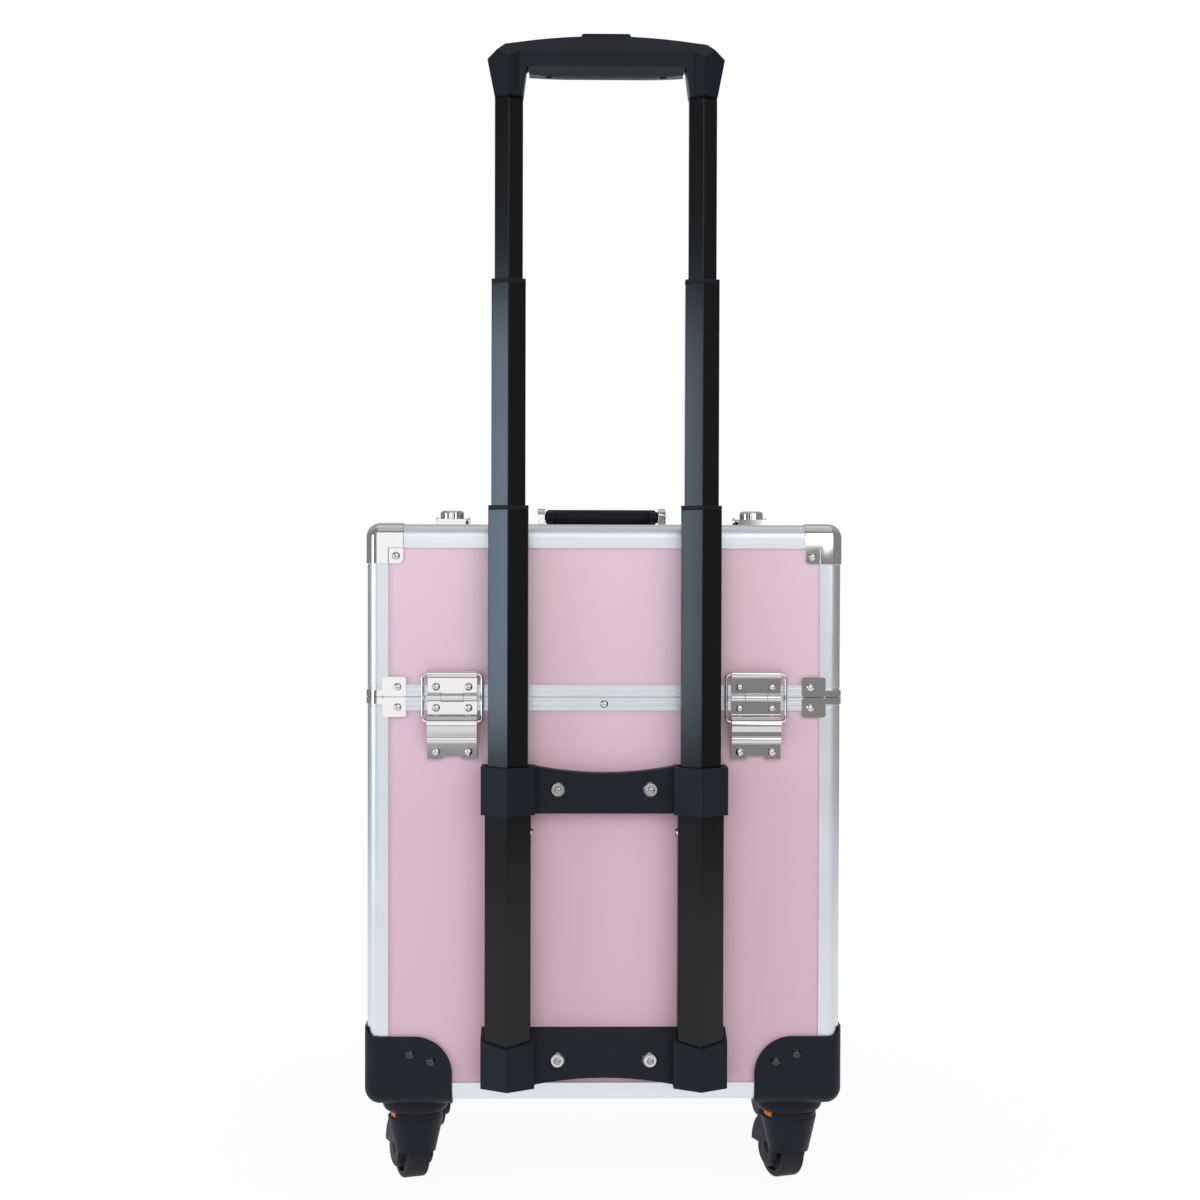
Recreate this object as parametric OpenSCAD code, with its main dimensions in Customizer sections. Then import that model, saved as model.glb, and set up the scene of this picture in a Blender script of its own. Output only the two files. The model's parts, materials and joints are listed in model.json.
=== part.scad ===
// Rolling makeup case with a split lid, cantilever trays, a telescopic pull handle and four casters.
// Millimetres, +Z up, the pull handle side faces -Y, the ground is z = 0.

/* [Case] */
// Outer width of the case
case_w = 360; // [330:1:420]
// Outer depth of the case, front to rear
case_d = 240; // [236:1:280]
// Height of the case floor above the ground
ground_gap = 70; // [68:1:80]
// Height of the base from its floor to the parting line
base_h = 308; // [290:1:360]
// Height of the lid above the parting line
lid_h = 131; // [126:1:160]
// Thickness of the wall panels
panel_t = 4; // [3:0.5:4.5]
// Gap between the lid rim and the base rim
part_gap = 0.4; // [0.3:0.1:0.6]
// Gap between the two half lids
split_gap = 1; // [0.6:0.1:2]

/* [Profiles] */
// Thickness of a profile flange
flange_t = 1.6; // [1.2:0.1:2]
// Visible width of an upright edge profile
edge_leg = 16.5; // [14:0.5:20]
// Outer rounding of the edge profiles
edge_r = 10; // [8:0.5:12]
// Visible width of the profile round the lid top
top_leg = 18; // [15:0.5:22]
// Visible height of the bottom rail
bottom_leg = 14.5; // [13:0.5:15]
// Height of the base rim
base_rim_h = 10; // [8:0.5:12]
// Height of the lid rim
lid_rim_h = 9; // [7:0.5:12]
// Thickness of the rim cap over a panel edge
rim_cap_t = 2; // [1.5:0.1:3]
// Width of the flange along the split of the lid
split_leg = 10; // [8:0.5:12]
// Depth of the fine grooves in the rims
groove_depth = 0.4; // [0.2:0.1:0.8]
// Height of one fine groove
groove_h = 0.9; // [0.5:0.1:1.2]

/* [Corner trim] */
// Thickness of the chrome trim
trim_t = 1; // [0.6:0.1:1.4]
// Width of a corner cap on the wall
cap_w = 28; // [24:0.5:34]
// Height of a corner cap on the wall
cap_h = 30; // [24:0.5:36]
// Rounding of the rivet tab of a corner cap
cap_tab_r = 4; // [2:0.5:5]
// Distance of a corner clip from the side of the case
clip_in = 12; // [11:0.5:16]
// Width of the flat plate of a corner clip
clip_w = 18; // [14:0.5:24]
// Height of a corner clip plate
clip_h = 15; // [12:0.5:18]
// Height of the clip band that wraps the corner
clip_band = 5; // [3:0.5:7]
// Radius of a rivet head
rivet_r = 3; // [2:0.1:3.6]
// Height of a rivet head
rivet_h = 1.4; // [0.8:0.1:2]

/* [Spring hinges] */
// Distance of a hinge centre from the middle of the case
hinge_x = 115; // [112:1:122]
// Width of a hinge leaf
hinge_w = 37.7; // [32:0.1:40]
// Width of the middle knuckle
knuckle_w = 17.3; // [14:0.1:20]
// Outer radius of a knuckle and of the rolled lip
knuckle_r = 3; // [2.6:0.1:3.4]
// Radius of a hinge pin
pin_r = 1.6; // [1.2:0.1:1.8]
// Distance of the hinge pin from the face of the case
pin_out = 3.5; // [3.4:0.1:4.5]
// Thickness of the leaf sheet
leaf_t = 1.2; // [0.8:0.1:1.6]
// Height of the rolled lip above the hinge pin
lip_z = 17.7; // [16:0.1:20]
// Depth of the bar of the stay loop below the hinge pin
bar_z = 18.1; // [17:0.1:19]
// Radius of the stay loop wire
wire_r = 1.1; // [0.8:0.1:1.3]
// Gap between the hinge leaf and a leg of the stay loop
loop_side_gap = 2.6; // [1.5:0.1:4]
// Depth below the pin at which the spring plate begins
plate_z0 = 12.8; // [12:0.1:13.5]
// Radius of the bulge of the spring plate
bulge_r = 8; // [7.9:0.1:8.6]
// Height of the bulge centre above the face
bulge_out = 2; // [2:0.1:3]
// Radius of the bead below the bulge
bead_r = 3.6; // [3.4:0.1:4.2]
// Height of the bead centre above the face
bead_out = 5.6; // [5.6:0.1:6]
// Depth of the bead centre below the pin
bead_z = 31.4; // [31:0.1:32.5]
// Depth of the end of the spring plate below the pin
tab_z1 = 46.8; // [44:0.1:52]

/* [Trays] */
// Height of a tray
tray_h = 40; // [30:1:40]
// Gap between a tray and the next one above it
tray_gap = 1; // [1:0.5:3]
// Gap between a tray and the split of the lid
tray_split_gap = 6.5; // [5.5:0.5:12]
// Wall of a tray
tray_wall = 2; // [1.5:0.1:3]
// Thickness of a tray link strip
link_t = 1.5; // [1:0.1:1.8]
// Width of a tray link strip
link_w = 12; // [9:0.5:16]
// Radius of the tray pivots
pivot_r = 2; // [1.5:0.1:2.5]

/* [Pull handle] */
// Distance of the tubes from the middle of the case
tube_x = 72.5; // [68:0.5:74]
// Width of the fixed tubes
tube_w = 34.5; // [33:0.5:35]
// Depth of the fixed tubes from their flat back to the ridge
tube_d = 28.4; // [26:0.2:32]
// Slope of the two ridge facets in degrees
ridge_angle = 32.6; // [25:0.2:36]
// Wall of the tubes
tube_wall = 1.5; // [1.2:0.05:1.7]
// Gap between one tube and the next inside it
tube_gap = 0.75; // [0.5:0.05:1]
// Height of the top of the fixed tubes above the case floor
fixed_up = 253; // [249:1:253]
// Height of the top of the first sliding tubes above the case floor
stage1_up = 450; // [435:1:450]
// Height of the top of the second sliding tubes above the case floor
stage2_up = 619; // [605:1:619]
// Height of the lower end of the grip above the case floor
grip_up = 757; // [745:1:765]
// Overlap of the raised tubes
tube_overlap = 45; // [40:1:48]
// Height of the guide collars above the tube tops
collar_h = 3; // [2:0.5:4]
// Length of the sliding feet below the tubes
foot_h = 6; // [4:0.5:8]
// Running gap of the collars and feet
slide_gap = 0.2; // [0.15:0.05:0.3]
// Height of the grip
grip_h = 46.6; // [45:0.1:52]
// Depth of the grip, front to rear
grip_d = 26; // [22:1:28]
// Width of the grip over its shoulders
grip_w = 177; // [172:1:184]
// Width of the finger opening of the grip
grip_open_w = 119; // [110:1:122]
// Height of the split between the grip shell and its underside
grip_open_h = 21.5; // [20:0.5:23]
// Depth of the rounded underside of the grip
belly_h = 7.5; // [5:0.5:8.5]
// Width of the push button
button_w = 37; // [24:1:50]
// Depth of the push button
button_d = 7; // [6:0.5:8]
// Height of the push button above the grip
button_proud = 2; // [1:0.5:4]
// Travel of the push button
button_travel = 4; // [2:0.5:5]

/* [Crosspieces] */
// Wall of the tube sleeves of the crosspieces
sleeve_t = 3; // [2.5:0.1:3.2]
// Height of the lower edge of the upper crosspiece above the case floor
upper_up = 221; // [219:1:224]
// Height of the upper crosspiece
upper_h = 36; // [28:1:36]
// Gap between the bottom rail and the lower crosspiece
lower_gap = 0.5; // [0.3:0.1:4]
// Height of the front of the lower crosspiece
lower_h = 32; // [26:1:40]
// Rise of the lower crosspiece from its ridge to its back
lower_rise = 10; // [4:1:14]
// Depth of the bridge between the sleeves
bridge_d = 12; // [9:0.5:16]
// Dip of the curved bridge edges
bridge_dip = 5.7; // [3:0.1:8]
// Distance of the bolts from the middle of the case
bolt_x = 35; // [28:0.5:38]
// Radius of the bolt shanks
bolt_r = 2.5; // [2:0.1:3]

/* [Casters] */
// Radius of the wheels
wheel_r = 23; // [21:0.1:24]
// Width of the wheels
wheel_w = 18; // [15:0.5:20]
// Distance of a wheel axle behind its swivel axis
trail = 12; // [11:0.5:13]
// Distance of the swivel axes from the sides of the case
caster_in = 35; // [34:0.5:37]
// Width of a caster housing on a face of the case
housing_w = 67; // [64:0.5:72]
// Height of a caster housing up the wall
housing_h = 50; // [46:1:60]
// Rise of a housing on the side of the case above its height on the other face
housing_lip = 6; // [3:0.5:8]
// Wall of a caster housing
housing_t = 2; // [1.5:0.1:3]
// Rounding of the inner top corner of a housing
housing_r = 29; // [20:0.5:32]
// Radius of the neck under a housing
neck_r = 25.5; // [25:0.5:27]
// Height of the neck above the ground
neck_z = 56; // [55.5:0.5:58]
// Height of the swivel ring
ring_h = 4.6; // [3:0.1:4.6]
// Radius of the kingpin
kingpin_r = 5; // [4:0.1:6]
// Radius of the wheel axle
axle_r = 2.5; // [2:0.1:3]
// Turn of the rear casters in degrees
rear_turn = 200; // [0:1:359]
// Turn of the front casters in degrees
front_turn = 12; // [0:1:359]

/* [Carry handle and latches] */
// Length of the carry grip
carry_l = 92; // [80:1:94]
// Radius of the carry grip
carry_r = 6.5; // [5:0.1:7]
// Reach of the carry grip from its pivots
carry_reach = 24; // [20:0.5:30]
// Height of the carry pivots above the lid
carry_z = 8; // [7.6:0.1:9]
// Distance of the carry pivots from the split of the lid
carry_y = 16; // [15:0.5:24]
// Distance of the latches from the sides of the case
latch_in = 58.4; // [50:0.1:75]
// Width of a latch
latch_w = 28; // [24:0.5:32]
// Height of the hasp dome above the lid
latch_h = 12.7; // [11:0.1:15]
// Distance of the hasp hinge from the split of the lid
hasp_y = 17; // [15:0.5:22]
// Reach of the hasp past the split
hasp_reach = 16; // [14:0.5:20]
// Free play between hasp and catch
hasp_play = 2.6; // [2.5:0.1:3.5]

/* [Hidden] */
$fn = 64;

// Small distance that lets a cut pass through a face
cut = 0.5;
// Radial gap of a pin that turns in its bore
pin_gap = 0.05;
// Radial gap of a fastener in its hole
fast_gap = 0.03;
// Gap between two lengths of profile that meet
joint_gap = 0.05;

// Case heights and half sizes
base_z0 = ground_gap;
part_z = base_z0 + base_h;
lid_z0 = part_z + part_gap;
lid_z1 = part_z + lid_h;
half_w = case_w / 2;
half_d = case_d / 2;
wall_in = flange_t + panel_t;

// Heights of the pull handle and its crosspieces
fixed_top = base_z0 + fixed_up;
stage1_top = base_z0 + stage1_up;
stage2_top = base_z0 + stage2_up;
grip_bottom = base_z0 + grip_up;
upper_z0 = base_z0 + upper_up;
lower_z0 = base_z0 + bottom_leg + lower_gap;

// Sizes of the pull handle section, measured from the face of the rear panel
slope = tan(ridge_angle);
step = tube_wall + tube_gap;
sleeve_out = sleeve_t + tube_d + sleeve_t / cos(ridge_angle);
trolley_reach = sleeve_out - flange_t;

// The case is set off the middle so that the whole part is centred front to rear
front_reach = bulge_out + bulge_r;
case_cy = (trolley_reach - front_reach) / 2;
panel_y = case_cy - half_d + flange_t;

// Rounding of a clip plate, and its rivet measured from the band
clip_r = 2;
clip_rivet_in = clip_w - 6.4;

// Hinge and stay loop
pin_y = half_d + pin_out;
loop_x = hinge_w / 2 + loop_side_gap + wire_r;
bulge_z = plate_z0 + sqrt(bulge_r * bulge_r - bulge_out * bulge_out);
valley_drop = 0.8;
valley_out = bead_out + bead_r - valley_drop;
bead_end = bead_z + bead_r;
knuckle_gap = 0.3;
leaf_edge = knuckle_r + 0.4;
tongue_edge = 0.7;
tab_notch_w = 14;
tab_notch_h = 2.4;
hinge_rivet_x = 12.3;
leaf_rivet_z = 8;
tab_rivet_z = tab_z1 - 5.6;
loop_bend = loop_side_gap + wire_r / 2;
loop_stub = loop_x - hinge_w / 2 + 5;

// Trays and their pivots, measured from the hinge pin: inward along -y and up along z
tray_out = 26;
tray_d = pin_y - tray_out - tray_split_gap;
tray_back = -tray_out - tray_d;
drawn_tray_d = 91;
tray_share = tray_d / drawn_tray_d;
lid_pivots = [[-tray_out - 14 * tray_share, 31], [-tray_out - 48 * tray_share, 57.4]];
base_pivot = [-38 * tray_share, -8];
tray_post_gap = 0.4;
tray_z0 = 4;
tray_r = 6;
link_gap = 1.5;
tray_side_gap = max(edge_r + tray_post_gap - wall_in, 2 * link_gap + link_t);
pivot_end = 0.7;
tray_half_w = half_w - wall_in - tray_side_gap;

// Heights of the lower ends of the sliding tubes
stage1_z0 = fixed_top - tube_overlap + foot_h;
stage2_z0 = stage1_top - tube_overlap + foot_h;
stage3_z0 = stage2_top - tube_overlap + foot_h;
spigot_h = 10;

// Guide screws on the inner sides of the tubes: proud on the fixed tubes, nearly flush on the sliding ones
nub_drop = 46;
nub_r = 2.5;
nub_h = 1.5;
flush_nub_h = 0.1;

// Crosspiece bolts
upper_bolt_z = upper_z0 + upper_h / 2;
lower_bolt_up = 19.2;
lower_bolt_z = lower_z0 + lower_bolt_up;
washer_r = 6;
washer_top_r = 4.8;
washer_h = 1.5;
bolt_head_r = 4.4;
bolt_head_h = 2.6;
nut_r = 4.6;
nut_h = 3;

// Grip: its middle, legs, shoulders and the push button
grip_leg_half = tube_w / 2 - 3 * step;
grip_y = panel_y - sleeve_t - tube_d / 2 - 3 * step * (1 - 1 / cos(ridge_angle)) / 2;
leg_out = tube_x + grip_leg_half;
leg_in = tube_x - grip_leg_half;
shoulder_z = 27.7;
chamfer_x = 13.3;
chamfer_z = 39.2;
arch_x = 65.7;
arch_z = 40.7;
open_r = 2;
grip_ridge_z = 27.5;
grip_crest_y = 3;
grip_edge = 1.5;
grip_leg_w = 33;
bar_y = -8;
grip_spigot_h = 14;
belly_sag_r = 600;
belly_sag_drop = 0.4;
underside_screw_x = 42.6;
underside_screw_y = 2;
underside_screw_r = 3;
underside_screw_h = 5;
button_y = grip_d / 2 - grip_edge - button_d / 2 - 1;
button_gap = 0.3;
button_depth = 8;
button_round = 2;
rod_r = 2.5;

// Half lids, latches and carry handle
split_y = split_gap / 2;
latch_x = half_w - latch_in;
latch_edge = 0.5;
latch_plate_t = 1.5;
hasp_z = 4.2;
hasp_t = 1.6;
hasp_lip_t = 1.6;
hasp_lip_z = 0.8;
hasp_pin_r = 1.3;
hasp_barrel_r = 2.4;
hasp_side_gap = 0.3;
ear_t = 2;
ear_r = 3.4;
catch_w = 14;
tooth_d = 2;
tooth_h = 1.2;
lock_r = 9.7;
lock_h = latch_h - hasp_z - hasp_t;
lock_round = 2.5;
key_r = 3;
key_depth = 2;
carry_side_gap = 0.4;
carry_end_r = 3;
carry_arm_t = 6;
carry_arm_r = 4.5;
carry_pin_r = 2.5;
mount_d = 20;
mount_t = 2;
mount_x1 = 75;
bracket_t = 6;
bracket_r = 7;

// Casters
housing_z0 = base_z0 - 3;
neck_round = 5.5;
crown_z = neck_z - ring_h - 0.4;
hood_gap = 1;
cheek_gap = 0.9;
cheek_t = 4.6;
cheek_round = 3;
hood_t = 2;
cheek_r = 14.5;
fork_top_r = 21.5;
fork_low_r = 15.5;
hood_in = 0.8;
shield_angle = 64;
shield_gap = 0.5;
shield_in = 0.3;
slot_z = 24;
kingpin_root = 2.5;
kingpin_drop = 1.5;
tread_r = 2;
wheel_recess = 3;
hub_r = 6;
rim_band = 5;
housing_roof = 0.8;
ring_in = 1;
ring_bore_gap = 0.3;
shield_r = neck_r - neck_round - ring_in + shield_gap;
screw_r = 3.75;
screw_h = 2;
screw_places = [[35, 36.5], [50.7, 31]];

// Front or rear half of the case: y = 0 is the split and +y points outwards
module front_half() {
    translate([0, case_cy, 0])
        children();
}
module rear_half() {
    translate([0, case_cy, 0])
        rotate(180)
            children();
}
module both_halves() {
    front_half()
        children();
    rear_half()
        children();
}
module left_right() {
    for (side = [-1, 1])
        scale_x(side)
            children();
}
module scale_x(side) {
    if (side < 0)
        mirror([1, 0, 0])
            children();
    else
        children();
}

// Rectangle with round corners, centred
module round_rect(w, d, r) {
    square([w, d - 2 * r], center = true);
    square([w - 2 * r, d], center = true);
    for (x = [-1, 1], y = [-1, 1])
        translate([x * (w / 2 - r), y * (d / 2 - r)])
            circle(r);
}

// Block between two corners
module block(a, b) {
    translate(a)
        cube(b - a);
}

// Round core of an edge profile along +z, in the corner at the origin
module edge_core(len) {
    translate([edge_r, edge_r, 0])
        rotate(180)
            rotate_extrude(angle = 90)
                square([edge_r, len]);
}

// Edge profile along +z: round core, and flanges along +x and +y that stop short of its ends
module edge_profile(len, leg_x, leg_y, skip0 = 0, skip1 = 0) {
    edge_core(len);
    flange_len = len - skip0 - skip1;
    translate([edge_r, 0, skip0])
        cube([leg_x - edge_r, flange_t, flange_len]);
    translate([0, edge_r, skip0])
        cube([flange_t, leg_y - edge_r, flange_len]);
}

// Eighth of a ball that closes a corner where three edge profiles meet
module corner_ball() {
    translate([edge_r, edge_r, edge_r])
        rotate([180, 0, -90])
            rotate_extrude(angle = 90)
                intersection() {
                    circle(edge_r);
                    square(edge_r);
                }
}

// Rim ring with a cap over the panel edges and grooves along its flange
module rim_ring(h) {
    difference() {
        linear_extrude(h)
            round_rect(case_w, case_d, edge_r);
        translate([0, 0, -cut])
            linear_extrude(h - rim_cap_t + cut)
                round_rect(case_w - 2 * flange_t, case_d - 2 * flange_t, edge_r - flange_t);
        translate([0, 0, -cut])
            linear_extrude(h + 2 * cut)
                round_rect(case_w - 2 * wall_in, case_d - 2 * wall_in, edge_r - wall_in);
        for (k = [1, 2])
            translate([0, 0, h - k * h / 3 - groove_h / 2])
                difference() {
                    linear_extrude(groove_h)
                        round_rect(case_w + 2, case_d + 2, edge_r + 1);
                    translate([0, 0, -cut])
                        linear_extrude(groove_h + 2 * cut)
                            round_rect(case_w - 2 * groove_depth, case_d - 2 * groove_depth,
                                edge_r - groove_depth);
                }
    }
}

// Rivet head on a plane z = 0
module rivet() {
    rotate_extrude()
        intersection() {
            translate([0, rivet_h - (rivet_r * rivet_r + rivet_h * rivet_h) / (2 * rivet_h)])
                circle((rivet_r * rivet_r + rivet_h * rivet_h) / (2 * rivet_h));
            square([rivet_r, rivet_h]);
        }
}

// Rivet on the outer face of a half, at height z
module face_rivet(x, z, out) {
    translate([x, half_d + out, z])
        rotate([-90, 0, 0])
            rivet();
}

module base_panels() {
    color("pink") {
        difference() {
            both_halves()
                block([-half_w + edge_r, half_d - wall_in, base_z0 + edge_r],
                    [half_w - edge_r, half_d - flange_t, part_z - rim_cap_t]);
            for (x = [-bolt_x, bolt_x], z = [upper_bolt_z, lower_bolt_z])
                translate([x, panel_y - cut, z])
                    rotate([-90, 0, 0])
                        cylinder(r = bolt_r + fast_gap, h = panel_t + 2 * cut);
        }
        left_right()
            block([half_w - wall_in, case_cy - half_d + edge_r, base_z0 + edge_r],
                [half_w - flange_t, case_cy + half_d - edge_r, part_z - rim_cap_t]);
        block([-half_w + edge_r, case_cy - half_d + edge_r, base_z0 + flange_t],
            [half_w - edge_r, case_cy + half_d - edge_r, base_z0 + wall_in]);
    }
}

module base_frame() {
    color("silver") {
        post_h = part_z - base_rim_h - base_z0 - edge_r;
        both_halves()
            left_right()
                translate([half_w, half_d, base_z0]) {
                    mirror([1, 0, 0])
                        mirror([0, 1, 0]) {
                            translate([0, 0, edge_r])
                                edge_profile(post_h - joint_gap, edge_leg, edge_leg,
                                    bottom_leg - edge_r + joint_gap);
                            corner_ball();
                        }
                }
        both_halves()
            translate([-half_w + edge_r + joint_gap, half_d, base_z0])
                rotate([90, 0, 90])
                    mirror([1, 0, 0])
                        edge_profile(case_w - 2 * edge_r - 2 * joint_gap, bottom_leg, bottom_leg);
        left_right()
            translate([half_w, case_cy + half_d - edge_r - joint_gap, base_z0])
                rotate([90, 0, 0])
                    mirror([1, 0, 0])
                        side_bottom_rail(case_d - 2 * edge_r - 2 * joint_gap, bottom_leg - edge_r);
    }
}

// Bottom rail along a side: its floor flange stops short of the other rails
module side_bottom_rail(len, skip) {
    edge_core(len);
    translate([edge_r, 0, skip])
        cube([bottom_leg - edge_r, flange_t, len - 2 * skip]);
    translate([0, edge_r, 0])
        cube([flange_t, bottom_leg - edge_r, len]);
}

module base_rim() {
    color("silver")
        translate([0, case_cy, part_z - base_rim_h])
            rim_ring(base_rim_h);
}

// Chrome clip that wraps a corner of a half: a riveted plate and a thin band
module corner_clip(z0, z1, band0, band1) {
    translate([half_w - clip_in - clip_w / 2, half_d + trim_t, (z0 + z1) / 2])
        rotate([90, 0, 0])
            linear_extrude(trim_t)
                round_rect(clip_w, z1 - z0, clip_r);
    translate([0, 0, band0])
        linear_extrude(band1 - band0)
            difference() {
                intersection() {
                    round_rect(case_w + 2 * trim_t, case_d + 2 * trim_t, edge_r + trim_t);
                    translate([half_w - clip_in, half_d - clip_in])
                        square(clip_in + 2 * trim_t);
                }
                round_rect(case_w, case_d, edge_r);
            }
}

module base_clips() {
    color("gainsboro")
        both_halves()
            left_right()
                corner_clip(part_z - clip_h, part_z, part_z - clip_band, part_z);
}

module base_rivets() {
    color("lightgray") {
        both_halves() {
            left_right()
                face_rivet(half_w - clip_in - clip_rivet_in, part_z - clip_h / 2, trim_t);
            face_rivet(0, part_z - base_rim_h / 2, 0);
            for (side = [-1, 1], x = [-1, 1]) {
                face_rivet(side * hinge_x + x * hinge_rivet_x, part_z - leaf_rivet_z, leaf_t);
                face_rivet(side * hinge_x + x * hinge_rivet_x, part_z - tab_rivet_z, leaf_t);
            }
        }
        both_halves()
            left_right()
                translate([half_w - wall_in, pin_y + base_pivot[0], part_z + base_pivot[1]])
                    rotate([0, -90, 0])
                        cylinder(r = pivot_r, h = tray_side_gap - cut);
    }
}

// Extrusion along x of a drawing whose axes are y and z, centred on x = 0
module x_extrude(w) {
    translate([-w / 2, 0, 0])
        rotate([90, 0, 90])
            linear_extrude(w)
                children();
}

// Round bar along x, centred
module x_bar(r, len) {
    rotate([0, 90, 0])
        cylinder(r = r, h = len, center = true);
}

// Origin at the hinge pin height on the face of a half, once for each hinge of that half
module at_hinges() {
    for (side = [-1, 1])
        translate([side * hinge_x, half_d, part_z])
            children();
}

// Side view of the bulge and bead of a spring plate, grown inwards by one wall
module spring_outline(wall) {
    translate([bulge_out, -bulge_z])
        circle(bulge_r - wall);
    translate([bead_out, -bead_z])
        circle(bead_r - wall);
    translate([-cut, -bead_z])
        square([valley_out - wall + cut, bead_z - bulge_z]);
    translate([-cut, -bead_end + wall])
        square([bead_out + cut, 2 * (bead_r - wall)]);
}

// Side view of a lower leaf: flat leaf, spring plate and riveted tab
module lower_leaf_side() {
    translate([0, -plate_z0])
        square([leaf_t, plate_z0 - leaf_edge]);
    intersection() {
        difference() {
            spring_outline(0);
            spring_outline(leaf_t);
        }
        translate([0, -tab_z1])
            square([2 * front_reach, tab_z1]);
    }
    translate([0, -tab_z1])
        square([leaf_t, tab_z1 - bead_end + leaf_t]);
}

// Knuckle on a tongue that leaves the leaf at its edge
module knuckle(x0, x1, up) {
    translate([(x0 + x1) / 2, 0, 0]) {
        translate([0, pin_out, 0])
            x_bar(knuckle_r, x1 - x0);
        z0 = up ? tongue_edge : -leaf_edge - leaf_t;
        x_extrude(x1 - x0)
            translate([0, z0])
                square([leaf_t, leaf_edge + leaf_t - tongue_edge]);
    }
}

module lower_leaf() {
    difference() {
        union() {
            x_extrude(hinge_w)
                lower_leaf_side();
            knuckle(-hinge_w / 2, -knuckle_w / 2, false);
            knuckle(knuckle_w / 2, hinge_w / 2, false);
        }
        translate([0, pin_out, 0])
            x_bar(pin_r + pin_gap, hinge_w + 2 * cut);
        translate([-tab_notch_w / 2, -cut, -tab_z1 - cut])
            cube([tab_notch_w, leaf_t + 2 * cut, tab_notch_h + cut]);
    }
}

module upper_leaf() {
    difference() {
        union() {
            x_extrude(hinge_w)
                translate([0, leaf_edge])
                    square([leaf_t, lip_z - leaf_edge]);
            translate([0, pin_out, lip_z])
                x_bar(knuckle_r, hinge_w);
            knuckle(-knuckle_w / 2 + knuckle_gap, knuckle_w / 2 - knuckle_gap, true);
        }
        translate([0, pin_out, 0])
            x_bar(pin_r + pin_gap, hinge_w + 2 * cut);
        translate([0, pin_out, lip_z])
            x_bar(wire_r + pin_gap, hinge_w + 2 * cut);
    }
}

module hinge_lower_leaves() {
    color("silver")
        both_halves()
            at_hinges()
                lower_leaf();
}

module hinge_pins() {
    color("gray")
        both_halves()
            at_hinges()
                translate([0, pin_out, 0])
                    x_bar(pin_r, hinge_w);
}

// Wire loop: stubs in the rolled lip, two legs and the bar behind the spring plate, with bent corners
module stay_loop() {
    translate([0, pin_out, 0]) {
        left_right() {
            translate([loop_x, 0, -bar_z + loop_bend])
                cylinder(r = wire_r, h = lip_z + bar_z - 2 * loop_bend);
            translate([loop_x - loop_bend, 0, lip_z - loop_bend])
                wire_bend();
            translate([loop_x - loop_bend, 0, -bar_z + loop_bend])
                mirror([0, 0, 1])
                    wire_bend();
            translate([loop_x - loop_bend, 0, lip_z])
                rotate([0, -90, 0])
                    cylinder(r = wire_r, h = loop_stub - loop_bend);
        }
        translate([0, 0, -bar_z])
            x_bar(wire_r, 2 * (loop_x - loop_bend));
    }
}

// Quarter bend of the loop wire, from +x up to +z
module wire_bend() {
    rotate([90, 0, 0])
        rotate_extrude(angle = 90)
            translate([loop_bend, 0])
                circle(wire_r);
}

module front_stay_loops() {
    color("silver")
        front_half()
            at_hinges()
                stay_loop();
}

module rear_stay_loops() {
    color("silver")
        rear_half()
            at_hinges()
                stay_loop();
}

// Caster housing round one corner of the case, with a rounded neck below it
module caster_housing() {
    top_z = base_z0 + housing_h;
    inner_x = half_w + housing_t - housing_w;
    inner_y = half_d + housing_t - housing_w;
    outer_r = edge_r + housing_t;
    difference() {
        union() {
            intersection() {
                translate([half_w - edge_r, half_d - edge_r, housing_z0 + outer_r])
                    mirror([0, 0, 1])
                        corner_block(outer_r, 2 * housing_w);
                block([inner_x, inner_y, housing_z0 - cut],
                    [half_w + outer_r, half_d + outer_r, top_z + housing_lip]);
            }
            translate([half_w - caster_in, half_d - caster_in, 0])
                rotate_extrude()
                    neck_side();
        }
        translate([half_w - edge_r, half_d - edge_r, base_z0 + edge_r])
            mirror([0, 0, 1])
                corner_block(edge_r, 3 * housing_w);
        translate([0, half_d + housing_t + cut, 0])
            rotate([90, 0, 0])
                linear_extrude(housing_t + edge_r + cut)
                    housing_trim(inner_x, top_z, half_w - housing_lip);
        translate([half_w - cut, 0, 0])
            rotate([90, 0, 90])
                linear_extrude(housing_t + 2 * cut)
                    housing_trim(inner_y, top_z + housing_lip, inner_y);
        translate([half_w - caster_in, half_d - caster_in, neck_z - cut])
            cylinder(r = kingpin_r + pin_gap, h = base_z0 - neck_z - housing_roof + cut);
    }
}

// What is cut away above a housing: its round inner corner, and the space up to the hollow rise at rise_x
module housing_trim(inner, top_z, rise_x) {
    translate([inner - cut, top_z])
        square([rise_x - inner + cut, housing_lip + cut]);
    translate([rise_x, top_z + housing_lip])
        circle(housing_lip);
    difference() {
        translate([inner - cut, top_z - housing_r])
            square([housing_r + cut, housing_r + cut]);
        translate([inner + housing_r, top_z - housing_r])
            circle(housing_r);
    }
}

// Half section of the neck under a housing, with a rounded lower edge
module neck_side() {
    flat_r = neck_r - neck_round;
    translate([0, neck_z])
        square([flat_r, housing_z0 - neck_z + cut]);
    translate([0, neck_z + neck_round])
        square([neck_r, housing_z0 - neck_z - neck_round + cut]);
    translate([flat_r, neck_z + neck_round])
        circle(neck_round);
}

module caster_housings() {
    color([0.13, 0.13, 0.15])
        both_halves()
            left_right()
                caster_housing();
}

// Domed screw head on a plane z = 0
module housing_screw() {
    rotate_extrude()
        intersection() {
            scale_r = (screw_r * screw_r + screw_h * screw_h) / (2 * screw_h);
            translate([0, screw_h - scale_r])
                circle(scale_r);
            square([screw_r, screw_h]);
        }
}

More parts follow.
